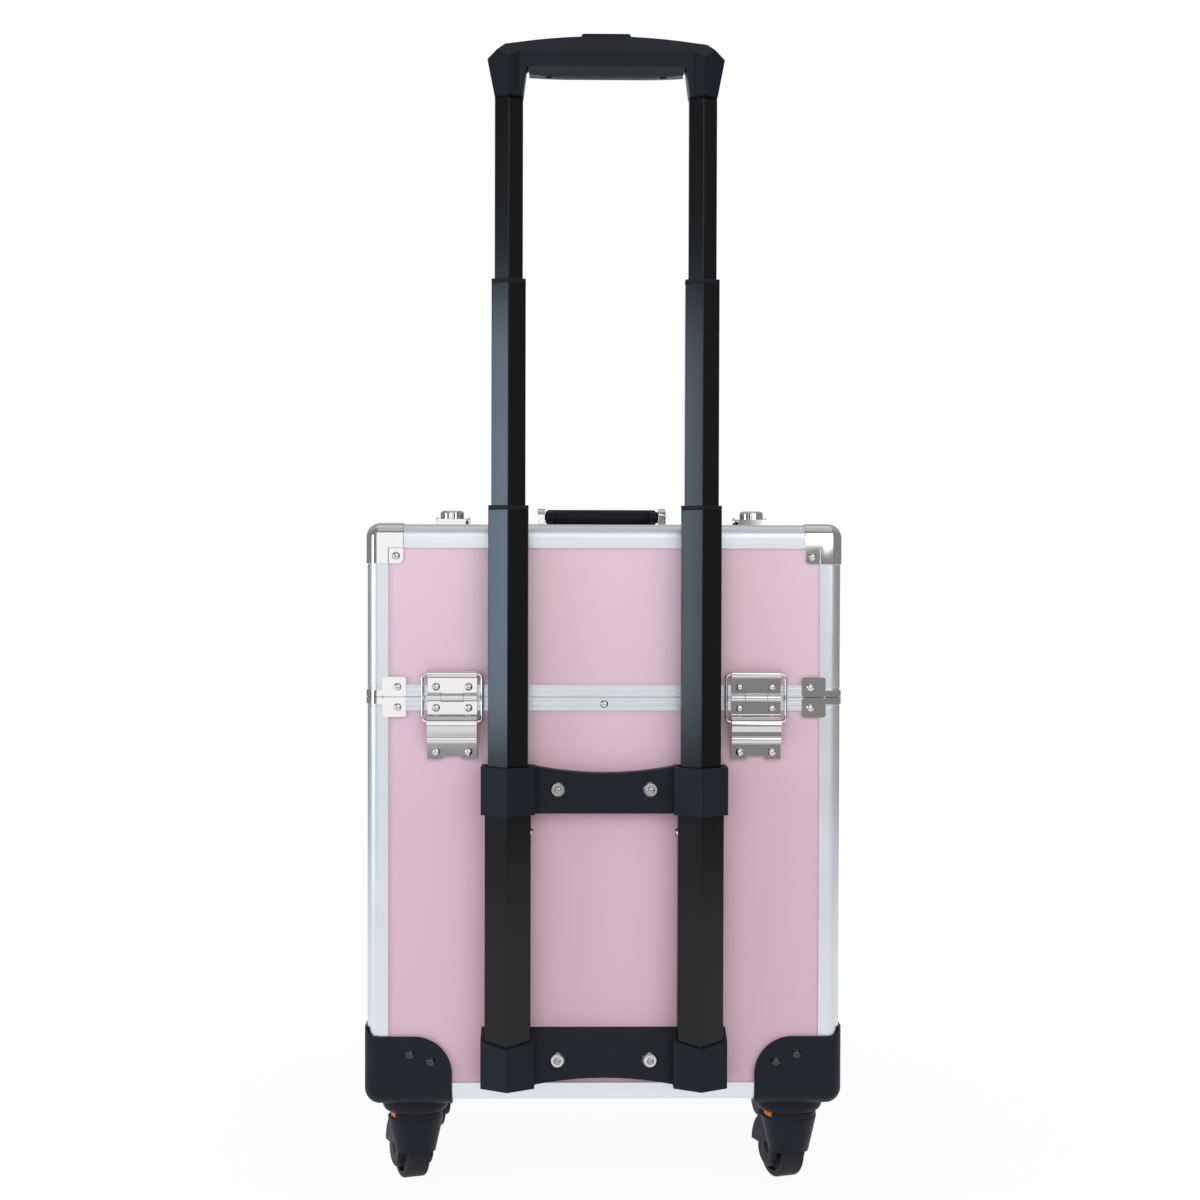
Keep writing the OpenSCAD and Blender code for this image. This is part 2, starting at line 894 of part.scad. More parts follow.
module housing_screws() {
    color([0.1, 0.1, 0.1])
        both_halves()
            left_right()
                for (place = screw_places) {
                    translate([half_w + housing_t - place[0], half_d + housing_t, base_z0 + place[1]])
                        rotate([-90, 0, 0])
                            housing_screw();
                    translate([half_w + housing_t, half_d + housing_t - place[0], base_z0 + place[1]])
                        rotate([0, 90, 0])
                            housing_screw();
                }
}

module swivel_rings() {
    color("orange")
        both_halves()
            left_right()
                translate([half_w - caster_in, half_d - caster_in, neck_z - ring_h])
                    difference() {
                        cylinder(r = neck_r - neck_round - ring_in, h = ring_h);
                        translate([0, 0, -cut])
                            cylinder(r = kingpin_r + ring_bore_gap, h = ring_h + 2 * cut);
                    }
}

// Tube section, inset from the outline of the fixed tube: flat back, two sides, two ridge facets
module tube_shape(inset) {
    a = tube_w / 2 - inset;
    flat = -sleeve_t - inset;
    tip = -sleeve_t - tube_d + inset / cos(ridge_angle);
    polygon([[-a, flat], [-a, tip + a * slope], [0, tip], [a, tip + a * slope], [a, flat]]);
}

// Both tubes of a pair, as prisms with the given inset
module tube_pair(z0, z1, inset) {
    for (side = [-1, 1])
        translate([side * tube_x, panel_y, z0])
            linear_extrude(z1 - z0)
                tube_shape(inset);
}

module hollow_pair(z0, z1, inset, hole) {
    difference() {
        tube_pair(z0, z1, inset);
        tube_pair(z0 - cut, z1 + cut, hole);
    }
}

// Guide collars on the tubes of one stage, and the guide screws below them
module guides(stage, top) {
    hollow_pair(top, top + collar_h, stage * step, (stage + 1) * step - slide_gap);
    inset = stage * step;
    tip = sleeve_t + tube_d - inset / cos(ridge_angle);
    side_out = (sleeve_t + inset + tip - (tube_w / 2 - inset) * slope) / 2;
    left_right()
        translate([tube_x - tube_w / 2 + inset, panel_y - side_out, top - nub_drop])
            rotate([0, -90, 0])
                cylinder(r = nub_r, h = stage == 0 ? nub_h : flush_nub_h);
}

// Sliding feet in the lower ends of the tubes of one stage
module feet(stage, bottom) {
    tube_pair(bottom - foot_h, bottom, stage * step - tube_gap + slide_gap);
    tube_pair(bottom, bottom + spigot_h, stage * step + tube_wall);
}

module fixed_tubes() {
    color([0.15, 0.16, 0.18])
        hollow_pair(lower_z0 + sleeve_t, fixed_top, 0, tube_wall);
}

module fixed_guides() {
    color([0.1, 0.1, 0.1])
        guides(0, fixed_top);
}

module stage1_tubes() {
    color([0.15, 0.16, 0.18])
        hollow_pair(stage1_z0, stage1_top, step, step + tube_wall);
}

module stage1_guides() {
    color([0.1, 0.1, 0.1]) {
        guides(1, stage1_top);
        feet(1, stage1_z0);
    }
}

module stage2_tubes() {
    color([0.15, 0.16, 0.18])
        hollow_pair(stage2_z0, stage2_top, 2 * step, 2 * step + tube_wall);
}

module stage2_guides() {
    color([0.1, 0.1, 0.1]) {
        guides(2, stage2_top);
        feet(2, stage2_z0);
    }
}

module stage3_tubes() {
    color([0.15, 0.16, 0.18])
        hollow_pair(stage3_z0, grip_bottom, 3 * step, 3 * step + tube_wall);
}

module stage3_feet() {
    color([0.1, 0.1, 0.1])
        feet(3, stage3_z0);
}

// Crosspiece with a sleeve for each tube and a bridge bolted to the rear panel; its top rises to the back
module crosspiece(z0, h, rise, floor_t, bolt_z) {
    inner_x = tube_x - tube_w / 2;
    dip_r = (inner_x * inner_x + bridge_dip * bridge_dip) / (2 * bridge_dip);
    difference() {
        union() {
            tube_pair(z0, z0 + h + rise, -sleeve_t);
            block([-inner_x, panel_y - bridge_d, z0], [inner_x, panel_y, z0 + h + rise]);
        }
        tube_pair(z0 + (floor_t > 0 ? floor_t : -cut), z0 + h + rise + cut, 0);
        if (rise > 0)
            x_extrude(4 * tube_x)
                polygon([[panel_y, z0 + h + rise], [panel_y - sleeve_out, z0 + h],
                    [panel_y - 2 * sleeve_out, z0 + h], [panel_y - 2 * sleeve_out, z0 + h + 2 * rise],
                    [panel_y, z0 + h + 2 * rise]]);
        dip_z = floor_t > 0 ? z0 + bridge_dip - dip_r : z0 + h - bridge_dip + dip_r;
        translate([0, panel_y + cut, dip_z])
            rotate([90, 0, 0])
                intersection() {
                    cylinder(r = dip_r, h = bridge_d + 2 * cut, $fn = 200);
                    translate([-inner_x + sleeve_t, -dip_r, -cut])
                        cube([2 * (inner_x - sleeve_t), 2 * dip_r, bridge_d + 4 * cut]);
                }
        for (x = [-bolt_x, bolt_x])
            translate([x, panel_y + cut, bolt_z])
                rotate([90, 0, 0])
                    cylinder(r = bolt_r + fast_gap, h = bridge_d + 2 * cut);
    }
}

module upper_crosspiece() {
    color([0.12, 0.12, 0.14])
        crosspiece(upper_z0, upper_h, 0, 0, upper_bolt_z);
}

module lower_crosspiece() {
    color([0.12, 0.12, 0.14])
        crosspiece(lower_z0, lower_h, lower_rise, sleeve_t, lower_bolt_z);
}

// Bolt with a conical washer outside and a nut inside the case; z = 0 is the face of the bridge
module bolt() {
    cylinder(r1 = washer_r, r2 = washer_top_r, h = washer_h);
    translate([0, 0, washer_h])
        difference() {
            cylinder(r = bolt_head_r, h = bolt_head_h);
            translate([0, 0, bolt_head_h / 2])
                cylinder(r = bolt_r, h = bolt_head_h, $fn = 6);
        }
    translate([0, 0, -bridge_d - panel_t - nut_h])
        cylinder(r = bolt_r, h = bridge_d + panel_t + nut_h);
    translate([0, 0, -bridge_d - panel_t - nut_h])
        cylinder(r = nut_r, h = nut_h, $fn = 6);
}

module crosspiece_bolts() {
    color("silver")
        for (x = [-bolt_x, bolt_x], z = [upper_bolt_z, lower_bolt_z])
            translate([x, panel_y - bridge_d, z])
                rotate([90, 0, 0])
                    bolt();
}

// Panels of a half lid: outer wall, two side walls and half of the top
module lid_panels() {
    wall_z1 = lid_z1 - edge_r;
    block([-half_w + edge_r, half_d - wall_in, lid_z0 + rim_cap_t],
        [half_w - edge_r, half_d - flange_t, wall_z1]);
    left_right()
        block([half_w - wall_in, split_y + rim_cap_t, lid_z0 + rim_cap_t],
            [half_w - flange_t, half_d - edge_r, wall_z1]);
    block([-half_w + edge_r, split_y + rim_cap_t, lid_z1 - wall_in],
        [half_w - edge_r, half_d - edge_r, lid_z1 - flange_t]);
}

// Profiles of a half lid: rim, two posts, top rails and the strips along the split
module lid_frame() {
    post_z0 = lid_z0 + lid_rim_h + joint_gap;
    strip_z1 = lid_z1 - edge_r - joint_gap;
    strip_x1 = half_w - edge_r - joint_gap;
    intersection() {
        translate([0, 0, lid_z0 + lid_rim_h])
            mirror([0, 0, 1])
                rim_ring(lid_rim_h);
        block([-case_w, split_y, 0], [case_w, case_d, 2 * lid_z1]);
    }
    left_right() {
        translate([half_w, half_d, post_z0])
            mirror([1, 0, 0])
                mirror([0, 1, 0]) {
                    edge_profile(lid_z1 - edge_r - post_z0, edge_leg, edge_leg, 0,
                        top_leg - edge_r + joint_gap);
                    translate([0, 0, lid_z1 - post_z0])
                        mirror([0, 0, 1])
                            corner_ball();
                }
        translate([half_w, split_y, lid_z1])
            rotate([-90, 0, 0])
                mirror([1, 0, 0])
                    lid_side_rail(half_d - edge_r - split_y - joint_gap);
        block([half_w - wall_in, split_y, post_z0], [half_w, split_y + rim_cap_t, strip_z1]);
        block([half_w - flange_t, split_y, post_z0], [half_w, split_y + split_leg, strip_z1]);
    }
    translate([-strip_x1, half_d, lid_z1])
        rotate([90, 0, 90])
            mirror([1, 0, 0])
                mirror([0, 1, 0])
                    edge_profile(2 * strip_x1, top_leg, top_leg);
    block([-strip_x1, split_y, lid_z1 - wall_in], [strip_x1, split_y + rim_cap_t, lid_z1]);
    block([-strip_x1, split_y, lid_z1 - flange_t], [strip_x1, split_y + split_leg, lid_z1]);
}

// Top rail along a side of the lid: both flanges start behind the split strip
module lid_side_rail(len) {
    edge_core(len);
    start = split_leg + joint_gap;
    translate([edge_r, 0, start])
        cube([top_leg - edge_r, flange_t, len - start - top_leg + edge_r]);
    translate([0, edge_r, start])
        cube([flange_t, top_leg - edge_r, len - start]);
}

// Rounded corner block: a ball of radius r with its three edges and faces, reaching in by s
module corner_block(r, s) {
    sphere(r);
    for (turn = [[0, 0, 0], [-90, 0, 0], [0, 90, 0]])
        rotate(turn)
            mirror([0, 0, 1])
                cylinder(r = r, h = s);
    translate([-s, -s, -s])
        cube([s, s, s + r]);
    translate([-s, -s, -s])
        cube([s, s + r, s]);
    translate([-s, -s, -s])
        cube([s + r, s, s]);
}

// Chrome cap over an upper corner of a half lid: it covers the profiles, with rivet tabs on the panels
module corner_cap() {
    s = max(cap_w, cap_h) + edge_r;
    difference() {
        translate([half_w - edge_r, half_d - edge_r, lid_z1 - edge_r])
            corner_block(edge_r + trim_t, s);
        translate([half_w - edge_r, half_d - edge_r, lid_z1 - edge_r])
            corner_block(edge_r, s + 2 * cut);
        corner_cap_limits(s);
        block([0, half_d - cut, 0], [half_w - edge_leg, case_d, lid_z1 - top_leg]);
        block([half_w - cut, 0, 0], [case_w, half_d - edge_leg, lid_z1 - top_leg]);
        block([0, 0, lid_z1 - cut], [half_w - top_leg, half_d - top_leg, 2 * lid_z1]);
    }
    translate([0, half_d - flange_t + trim_t, 0])
        rotate([90, 0, 0])
            linear_extrude(trim_t)
                cap_tab(half_w);
    translate([half_w - flange_t, 0, 0])
        rotate([90, 0, 90])
            linear_extrude(trim_t)
                cap_tab(half_d);
}

// Rivet tab in the inner corner of a cap, with one round corner; side is the place of the wall's edge
module cap_tab(side) {
    u0 = side - cap_w;
    v0 = lid_z1 - cap_h;
    tab_w = cap_w - edge_leg;
    tab_h = cap_h - top_leg;
    translate([u0 + cap_tab_r, v0])
        square([tab_w - cap_tab_r, tab_h]);
    translate([u0, v0 + cap_tab_r])
        square([cap_tab_r, tab_h - cap_tab_r]);
    translate([u0 + cap_tab_r, v0 + cap_tab_r])
        circle(cap_tab_r);
}

// Everything beyond the three edges of a corner cap
module corner_cap_limits(s) {
    far = 2 * s;
    block([half_w - cap_w - far, 0, lid_z1 - far], [half_w - cap_w, case_d, lid_z1 + far]);
    block([half_w - far, half_d - cap_w - far, lid_z1 - far], [half_w + far, half_d - cap_w, lid_z1 + far]);
    block([half_w - far, 0, lid_z1 - cap_h - far], [half_w + far, case_d, lid_z1 - cap_h]);
}

module lid_corners() {
    left_right()
        corner_cap();
}

module lid_clips() {
    left_right()
        corner_clip(lid_z0, lid_z0 + clip_h, lid_z0, lid_z0 + clip_band);
}

// Rivets of a half lid and the tray pivots on its side walls
module lid_rivets() {
    left_right() {
        face_rivet(half_w - clip_in - clip_rivet_in, lid_z0 + clip_h / 2, trim_t);
        face_rivet(half_w - (cap_w + edge_leg) / 2, lid_z1 - (cap_h + top_leg) / 2, trim_t - flange_t);
        for (pivot = lid_pivots)
            translate([half_w - wall_in, pin_y + pivot[0], part_z + pivot[1]])
                rotate([0, -90, 0])
                    cylinder(r = pivot_r, h = tray_side_gap + tray_wall + pivot_end);
    }
    for (side = [-1, 1], x = [-1, 1])
        face_rivet(side * hinge_x + x * hinge_rivet_x, part_z + leaf_rivet_z, leaf_t);
}

module front_lid_panels() {
    color("pink")
        front_half()
            lid_panels();
}

module rear_lid_panels() {
    color("pink")
        rear_half()
            lid_panels();
}

module front_lid_frame() {
    color("silver")
        front_half()
            lid_frame();
}

module rear_lid_frame() {
    color("silver")
        rear_half()
            lid_frame();
}

module front_lid_corners() {
    color("gainsboro")
        front_half()
            lid_corners();
}

module rear_lid_corners() {
    color("gainsboro")
        rear_half()
            lid_corners();
}

module front_lid_clips() {
    color("gainsboro")
        front_half()
            lid_clips();
}

module rear_lid_clips() {
    color("gainsboro")
        rear_half()
            lid_clips();
}

module front_lid_rivets() {
    color("lightgray")
        front_half()
            lid_rivets();
}

module rear_lid_rivets() {
    color("lightgray")
        rear_half()
            lid_rivets();
}

module front_hinge_leaves() {
    color("silver")
        front_half()
            at_hinges()
                upper_leaf();
}

module rear_hinge_leaves() {
    color("silver")
        rear_half()
            at_hinges()
                upper_leaf();
}

// Open tray with rounded corners; level 0 is the lower tray and level 1 the upper one
module tray(level) {
    z0 = part_z + tray_z0 + level * (tray_h + tray_gap);
    y0 = pin_y + tray_back;
    lid_pivot = lid_pivots[level];
    link_pivot = lid_pivot + base_pivot;
    difference() {
        translate([0, y0 + tray_d / 2, z0])
            linear_extrude(tray_h)
                round_rect(2 * tray_half_w, tray_d, tray_r);
        translate([0, y0 + tray_d / 2, z0 + tray_wall])
            linear_extrude(tray_h)
                round_rect(2 * (tray_half_w - tray_wall), tray_d - 2 * tray_wall, tray_r - tray_wall);
        for (pivot = [lid_pivot, link_pivot])
            translate([0, pin_y + pivot[0], part_z + pivot[1]])
                x_bar(pivot_r + pin_gap, 2 * half_w);
    }
}

module front_lower_tray() {
    color([0.14, 0.14, 0.15])
        front_half()
            tray(0);
}

module front_upper_tray() {
    color([0.14, 0.14, 0.15])
        front_half()
            tray(1);
}

module rear_lower_tray() {
    color([0.14, 0.14, 0.15])
        rear_half()
            tray(0);
}

module rear_upper_tray() {
    color([0.14, 0.14, 0.15])
        rear_half()
            tray(1);
}

// Link strip at each side, from the base pivot up through both trays, with its tray pins
module tray_links() {
    last = lid_pivots[1];
    reach = norm(last);
    angle = atan2(last[1], last[0]);
    link_x = half_w - wall_in - link_gap - link_t;
    left_right() {
        translate([link_x, pin_y + base_pivot[0], part_z + base_pivot[1]])
            rotate([angle, 0, 0])
                difference() {
                    rotate([90, 0, 90])
                        linear_extrude(link_t) {
                            circle(link_w / 2);
                            translate([reach, 0])
                                circle(link_w / 2);
                            translate([0, -link_w / 2])
                                square([reach, link_w]);
                        }
                    rotate([0, 90, 0])
                        cylinder(r = pivot_r + pin_gap, h = 4 * link_t, center = true);
                }
        for (pivot = lid_pivots)
            translate([link_x + link_t / 2, pin_y + pivot[0] + base_pivot[0],
                part_z + pivot[1] + base_pivot[1]])
                rotate([0, -90, 0])
                    cylinder(r = pivot_r,
                        h = link_x + link_t / 2 - tray_half_w + tray_wall + pivot_end);
    }
}

module front_tray_links() {
    color("silver")
        front_half()
            tray_links();
}

module rear_tray_links() {
    color("silver")
        rear_half()
            tray_links();
}

// Latch plate on the front half lid: a plate with two hinge ears
module latch_plate() {
    translate([0, 0, lid_z1]) {
        difference() {
            union() {
                block([-latch_w / 2, split_y + latch_edge, 0], [latch_w / 2, hasp_y + ear_r, latch_plate_t]);
                left_right()
                    translate([latch_w / 2 - ear_t, hasp_y, 0])
                        rotate([90, 0, 90])
                            linear_extrude(ear_t) {
                                translate([0, hasp_z])
                                    circle(ear_r);
                                translate([-ear_r, 0])
                                    square([2 * ear_r, hasp_z]);
                            }
            }
            translate([0, hasp_y, hasp_z])
                x_bar(hasp_pin_r + pin_gap, 2 * latch_w);
        }
    }
}

module latch_plates() {
    color("gainsboro")
        front_half()
            for (side = [-1, 1])
                translate([side * latch_x, 0, 0])
                    latch_plate();
}

// Catch on the rear half lid: a plate with a low tooth
module latch_catch() {
    tooth_y = -hasp_reach + hasp_lip_t + hasp_play;
    translate([0, 0, lid_z1]) {
        block([-latch_w / 2, tooth_y, 0], [latch_w / 2, -split_y - latch_edge, latch_plate_t]);
        block([-catch_w / 2, tooth_y, 0], [catch_w / 2, tooth_y + tooth_d, latch_plate_t + tooth_h]);
    }
}

module latch_catches() {
    color("gainsboro")
        front_half()
            for (side = [-1, 1])
                translate([side * latch_x, 0, 0])
                    latch_catch();
}

// Hasp: plate from its hinge pin over the split, an end lip, and a domed lock barrel
module hasp() {
    hasp_w = latch_w - 2 * ear_t - 2 * hasp_side_gap;
    translate([0, 0, lid_z1]) {
        block([-hasp_w / 2, -hasp_reach, hasp_z], [hasp_w / 2, hasp_y, hasp_z + hasp_t]);
        block([-hasp_w / 2, -hasp_reach, hasp_lip_z], [hasp_w / 2, -hasp_reach + hasp_lip_t, hasp_z + cut]);
        translate([0, hasp_y, hasp_z])
            x_bar(hasp_barrel_r, hasp_w);
        translate([0, hasp_y, hasp_z])
            x_bar(hasp_pin_r, latch_w);
        translate([0, 0, hasp_z + hasp_t])
            rotate_extrude()
                difference() {
                    lock_dome_side();
                    translate([0, lock_h - key_depth])
                        square([key_r, key_depth + cut]);
                }
    }
}

// Half section of the lock dome on a hasp
module lock_dome_side() {
    square([lock_r - lock_round, lock_h]);
    square([lock_r, lock_h - lock_round]);
    translate([lock_r - lock_round, lock_h - lock_round])
        circle(lock_round);
}

module left_hasp() {
    color("gainsboro")
        front_half()
            translate([-latch_x, 0, 0])
                hasp();
}

module right_hasp() {
    color("gainsboro")
        front_half()
            translate([latch_x, 0, 0])
                hasp();
}

// Chrome end plates and pivot brackets of the carry handle
module handle_mounts() {
    bracket_x = carry_l / 2 + carry_side_gap;
    color("gainsboro")
        front_half()
            left_right()
                translate([0, carry_y, lid_z1])
                    difference() {
                        union() {
                            block([bracket_x, -mount_d / 2, 0], [mount_x1, mount_d / 2, mount_t]);
                            translate([bracket_x, 0, 0])
                                rotate([90, 0, 90])
                                    linear_extrude(bracket_t) {
                                        translate([0, carry_z])
                                            circle(bracket_r);
                                        translate([-bracket_r, 0])
                                            square([2 * bracket_r, carry_z]);
                                    }
                        }
                        translate([bracket_x - cut, 0, carry_z])
                            rotate([0, 90, 0])
                                cylinder(r = carry_pin_r + pin_gap, h = bracket_t + 2 * cut);
                    }
}

// Carry grip folded flat towards the front: a round bar on two arms with pivot pins
module carry_grip() {
    arm_x = carry_l / 2 - carry_arm_t / 2;
    color([0.1, 0.1, 0.11])
        front_half()
            translate([0, carry_y, lid_z1 + carry_z]) {
                translate([0, carry_reach, 0]) {
                    x_bar(carry_r, carry_l - 2 * carry_end_r);
                    left_right()
                        translate([carry_l / 2 - carry_end_r, 0, 0])
                            rotate([0, 90, 0])
                                carry_end();
                }
                left_right() {
                    translate([arm_x - carry_arm_t / 2, 0, 0])
                        rotate([90, 0, 90])
                            linear_extrude(carry_arm_t) {
                                circle(carry_arm_r);
                                translate([0, -carry_arm_r])
                                    square([carry_reach, 2 * carry_arm_r]);
                            }
                    translate([arm_x, 0, 0])
                        rotate([0, 90, 0])
                            cylinder(r = carry_pin_r, h = carry_l / 2 - arm_x + carry_side_gap + bracket_t);
                }
            }
}

// Rounded end of the carry grip, from z = 0 up
module carry_end() {
    rotate_extrude() {
        square([carry_r - carry_end_r, carry_end_r]);
        intersection() {
            translate([carry_r - carry_end_r, 0])
                circle(carry_end_r);
            square([carry_r, carry_end_r]);
        }
    }
}

// Front view of the grip: splayed legs, chamfered shoulders, an arched top and the gap between the legs
module grip_outline() {
    arch_h = grip_h - arch_z;
    arch_r = (arch_x * arch_x + arch_h * arch_h) / (2 * arch_h);
    shoulder_x = grip_w / 2;
    difference() {
        union() {
            polygon([
                [-leg_out, 0], [-shoulder_x, shoulder_z], [-shoulder_x + chamfer_x, chamfer_z],
                [-arch_x, arch_z], [arch_x, arch_z], [shoulder_x - chamfer_x, chamfer_z],
                [shoulder_x, shoulder_z], [leg_out, 0]
            ]);
            intersection() {
                translate([0, grip_h - arch_r])
                    circle(arch_r, $fn = 360);
                translate([-arch_x, arch_z - cut])
                    square([2 * arch_x, arch_h + 2 * cut]);
            }
        }
        grip_gap();
    }
}

// Gap between the legs of the grip, with small round corners
module grip_gap() {
    open_x = grip_open_w / 2;
    polygon([
        [-leg_in, -cut], [-open_x, grip_open_h - open_r],
        [open_x, grip_open_h - open_r], [leg_in, -cut]
    ]);
    translate([0, grip_open_h - open_r])
        square([2 * open_x - 2 * open_r, 2 * open_r], center = true);
    for (x = [-1, 1])
        translate([x * (open_x - open_r), grip_open_h - open_r])
            circle(open_r);
}

// Side view of the grip: the top rises from the rear ridge to a crest and then runs level to the front
module grip_section() {
    polygon([
        [-grip_d / 2, 0], [grip_d / 2, 0], [grip_d / 2, grip_h - grip_edge],
        [grip_d / 2 - grip_edge, grip_h], [grip_crest_y, grip_h], [-grip_d / 2, grip_ridge_z]
    ]);
}

// Top view of the grip: a leg with two ridge facets at each end, and the bar between them
module grip_plan() {
    facet_y = -grip_d / 2 + grip_leg_w / 2 * slope;
    for (side = [-1, 1])
        translate([side * tube_x, 0])
            polygon([
                [-grip_leg_w / 2, grip_d / 2], [-grip_leg_w / 2, facet_y], [0, -grip_d / 2],
                [grip_leg_w / 2, facet_y], [grip_leg_w / 2, grip_d / 2]
            ]);
    translate([-tube_x, bar_y])
        square([2 * tube_x, grip_d / 2 - bar_y]);
}

module grip_solid() {
    translate([0, grip_y, grip_bottom])
        intersection() {
            translate([0, grip_d, 0])
                rotate([90, 0, 0])
                    linear_extrude(2 * grip_d)
                        grip_outline();
            x_extrude(2 * grip_w)
                grip_section();
            linear_extrude(2 * grip_h)
                grip_plan();
        }
}

module grip_shell() {
    color([0.12, 0.12, 0.14]) {
        difference() {
            grip_solid();
            translate([0, grip_y + button_y, grip_bottom + grip_h])
                block([-button_w / 2 - button_gap, -button_d / 2 - button_gap,
                    -button_depth - button_travel - button_gap],
                    [button_w / 2 + button_gap, button_d / 2 + button_gap, cut]);
        }
        tube_pair(grip_bottom - grip_spigot_h, grip_bottom, 3 * step + tube_wall);
    }
}

// Rounded underside below the shell: round across its depth, and slightly sagging along its width
module grip_underside() {
    half = (grip_d / 2 - bar_y) / 2;
    belly_r = (half * half + belly_h * belly_h) / (2 * belly_h);
    belly_w = grip_open_w - 2 * open_r;
    color([0.3, 0.31, 0.33])
        translate([0, grip_y + bar_y + half, grip_bottom + grip_open_h])
            difference() {
                intersection() {
                    translate([0, 0, belly_r - belly_h])
                        x_bar(belly_r, belly_w);
                    block([-grip_open_w, -half, -2 * belly_h], [grip_open_w, half, 0]);
                    translate([0, 0, belly_sag_r - belly_h - belly_sag_drop])
                        rotate([90, 0, 0])
                            cylinder(r = belly_sag_r, h = 2 * grip_d, center = true, $fn = 360);
                }
                for (x = [-underside_screw_x, underside_screw_x])
                    translate([x, -underside_screw_y, -belly_h - cut])
                        cylinder(r = underside_screw_r, h = underside_screw_h);
            }
}

module push_button() {
    color([0.08, 0.08, 0.09])
        translate([0, grip_y + button_y, grip_bottom + grip_h])
            translate([0, button_d / 2, 0])
                rotate([90, 0, 0])
                    linear_extrude(button_d)
                        translate([0, (button_proud - button_depth) / 2])
                            round_rect(button_w, button_depth + button_proud, button_round);
}

module release_rods() {
    color("gray")
        for (side = [-1, 1])
            translate([side * tube_x, grip_y, stage3_z0 + spigot_h])
                cylinder(r = rod_r, h = grip_bottom - grip_spigot_h - stage3_z0 - spigot_h);
}

// Rounded cheek discs of a fork, drawn about the wheel axle
module fork_cheeks(fork_w) {
    rotate([0, 90, 0])
        rotate_extrude()
            translate([0, -fork_w / 2]) {
                square([cheek_r - cheek_round, fork_w]);
                translate([0, cheek_round])
                    square([cheek_r, fork_w - 2 * cheek_round]);
                for (y = [cheek_round, fork_w - cheek_round])
                    translate([cheek_r - cheek_round, y])
                        circle(cheek_round);
            }
}

// Body of a fork: a tapered cup round the swivel, a hood over the wheel and a shield before the ring
module fork_body(fork_w) {
    translate([0, 0, slot_z])
        cylinder(r1 = fork_low_r, r2 = fork_top_r, h = crown_z - slot_z);
    intersection() {
        translate([0, -trail, wheel_r])
            x_bar(wheel_r + hood_gap + hood_t, fork_w - 2 * hood_in);
        block([-fork_w, -2 * wheel_r - trail, slot_z], [fork_w, 0, crown_z]);
    }
    translate([0, 0, crown_z - cut])
        rotate(90 - shield_angle)
            rotate_extrude(angle = 2 * shield_angle)
                translate([shield_r, 0])
                    square([fork_top_r - shield_in - shield_r, neck_z - shield_gap - crown_z + cut]);
}

// Fork with its kingpin, and the wheel axle between its cheeks; the swivel axis is z
module fork() {
    slot_w = wheel_w + 2 * cheek_gap;
    fork_w = slot_w + 2 * cheek_t;
    difference() {
        union() {
            fork_body(fork_w);
            translate([0, -trail, wheel_r])
                fork_cheeks(fork_w);
            translate([0, 0, crown_z - kingpin_root])
                cylinder(r = kingpin_r, h = base_z0 - kingpin_drop - crown_z + kingpin_root);
        }
        translate([0, -trail, wheel_r])
            x_bar(wheel_r + hood_gap, slot_w);
        block([-slot_w / 2, -2 * wheel_r - trail, -cut], [slot_w / 2, 2 * wheel_r, slot_z]);
        translate([0, -trail, wheel_r])
            x_bar(axle_r + fast_gap, fork_w + 2 * cut);
    }
    translate([0, -trail, wheel_r])
        x_bar(axle_r, fork_w);
}

// Wheel with a rounded tread and recessed sides, turning about its axle
module wheel() {
    translate([0, -trail, wheel_r])
        rotate([0, 90, 0])
            rotate_extrude()
                difference() {
                    translate([0, -wheel_w / 2]) {
                        translate([axle_r + pin_gap, 0])
                            square([wheel_r - tread_r - axle_r - pin_gap, wheel_w]);
                        translate([axle_r + pin_gap, tread_r])
                            square([wheel_r - axle_r - pin_gap, wheel_w - 2 * tread_r]);
                        for (y = [tread_r, wheel_w - tread_r])
                            translate([wheel_r - tread_r, y])
                                circle(tread_r);
                    }
                    for (y = [-wheel_w / 2 - cut, wheel_w / 2 - wheel_recess])
                        translate([hub_r, y])
                            square([wheel_r - rim_band - hub_r, wheel_recess + cut]);
                }
}

// Place of a caster: side is -1 for left and 1 for right, end is -1 for rear and 1 for front
module at_caster(side, end) {
    translate([side * (half_w - caster_in), case_cy + end * (half_d - caster_in), 0])
        rotate(end < 0 ? rear_turn : front_turn)
            children();
}

module rear_left_fork() {
    color([0.12, 0.12, 0.14])
        at_caster(-1, -1)
            fork();
}

module rear_right_fork() {
    color([0.12, 0.12, 0.14])
        at_caster(1, -1)
            fork();
}

module front_left_fork() {
    color([0.12, 0.12, 0.14])
        at_caster(-1, 1)
            fork();
}

module front_right_fork() {
    color([0.12, 0.12, 0.14])
        at_caster(1, 1)
            fork();
}

module rear_left_wheel() {
    color([0.2, 0.2, 0.2])
        at_caster(-1, -1)
            wheel();
}

module rear_right_wheel() {
    color([0.2, 0.2, 0.2])
        at_caster(1, -1)
            wheel();
}

module front_left_wheel() {
    color([0.2, 0.2, 0.2])
        at_caster(-1, 1)
            wheel();
}

module front_right_wheel() {
    color([0.2, 0.2, 0.2])
        at_caster(1, 1)
            wheel();
}

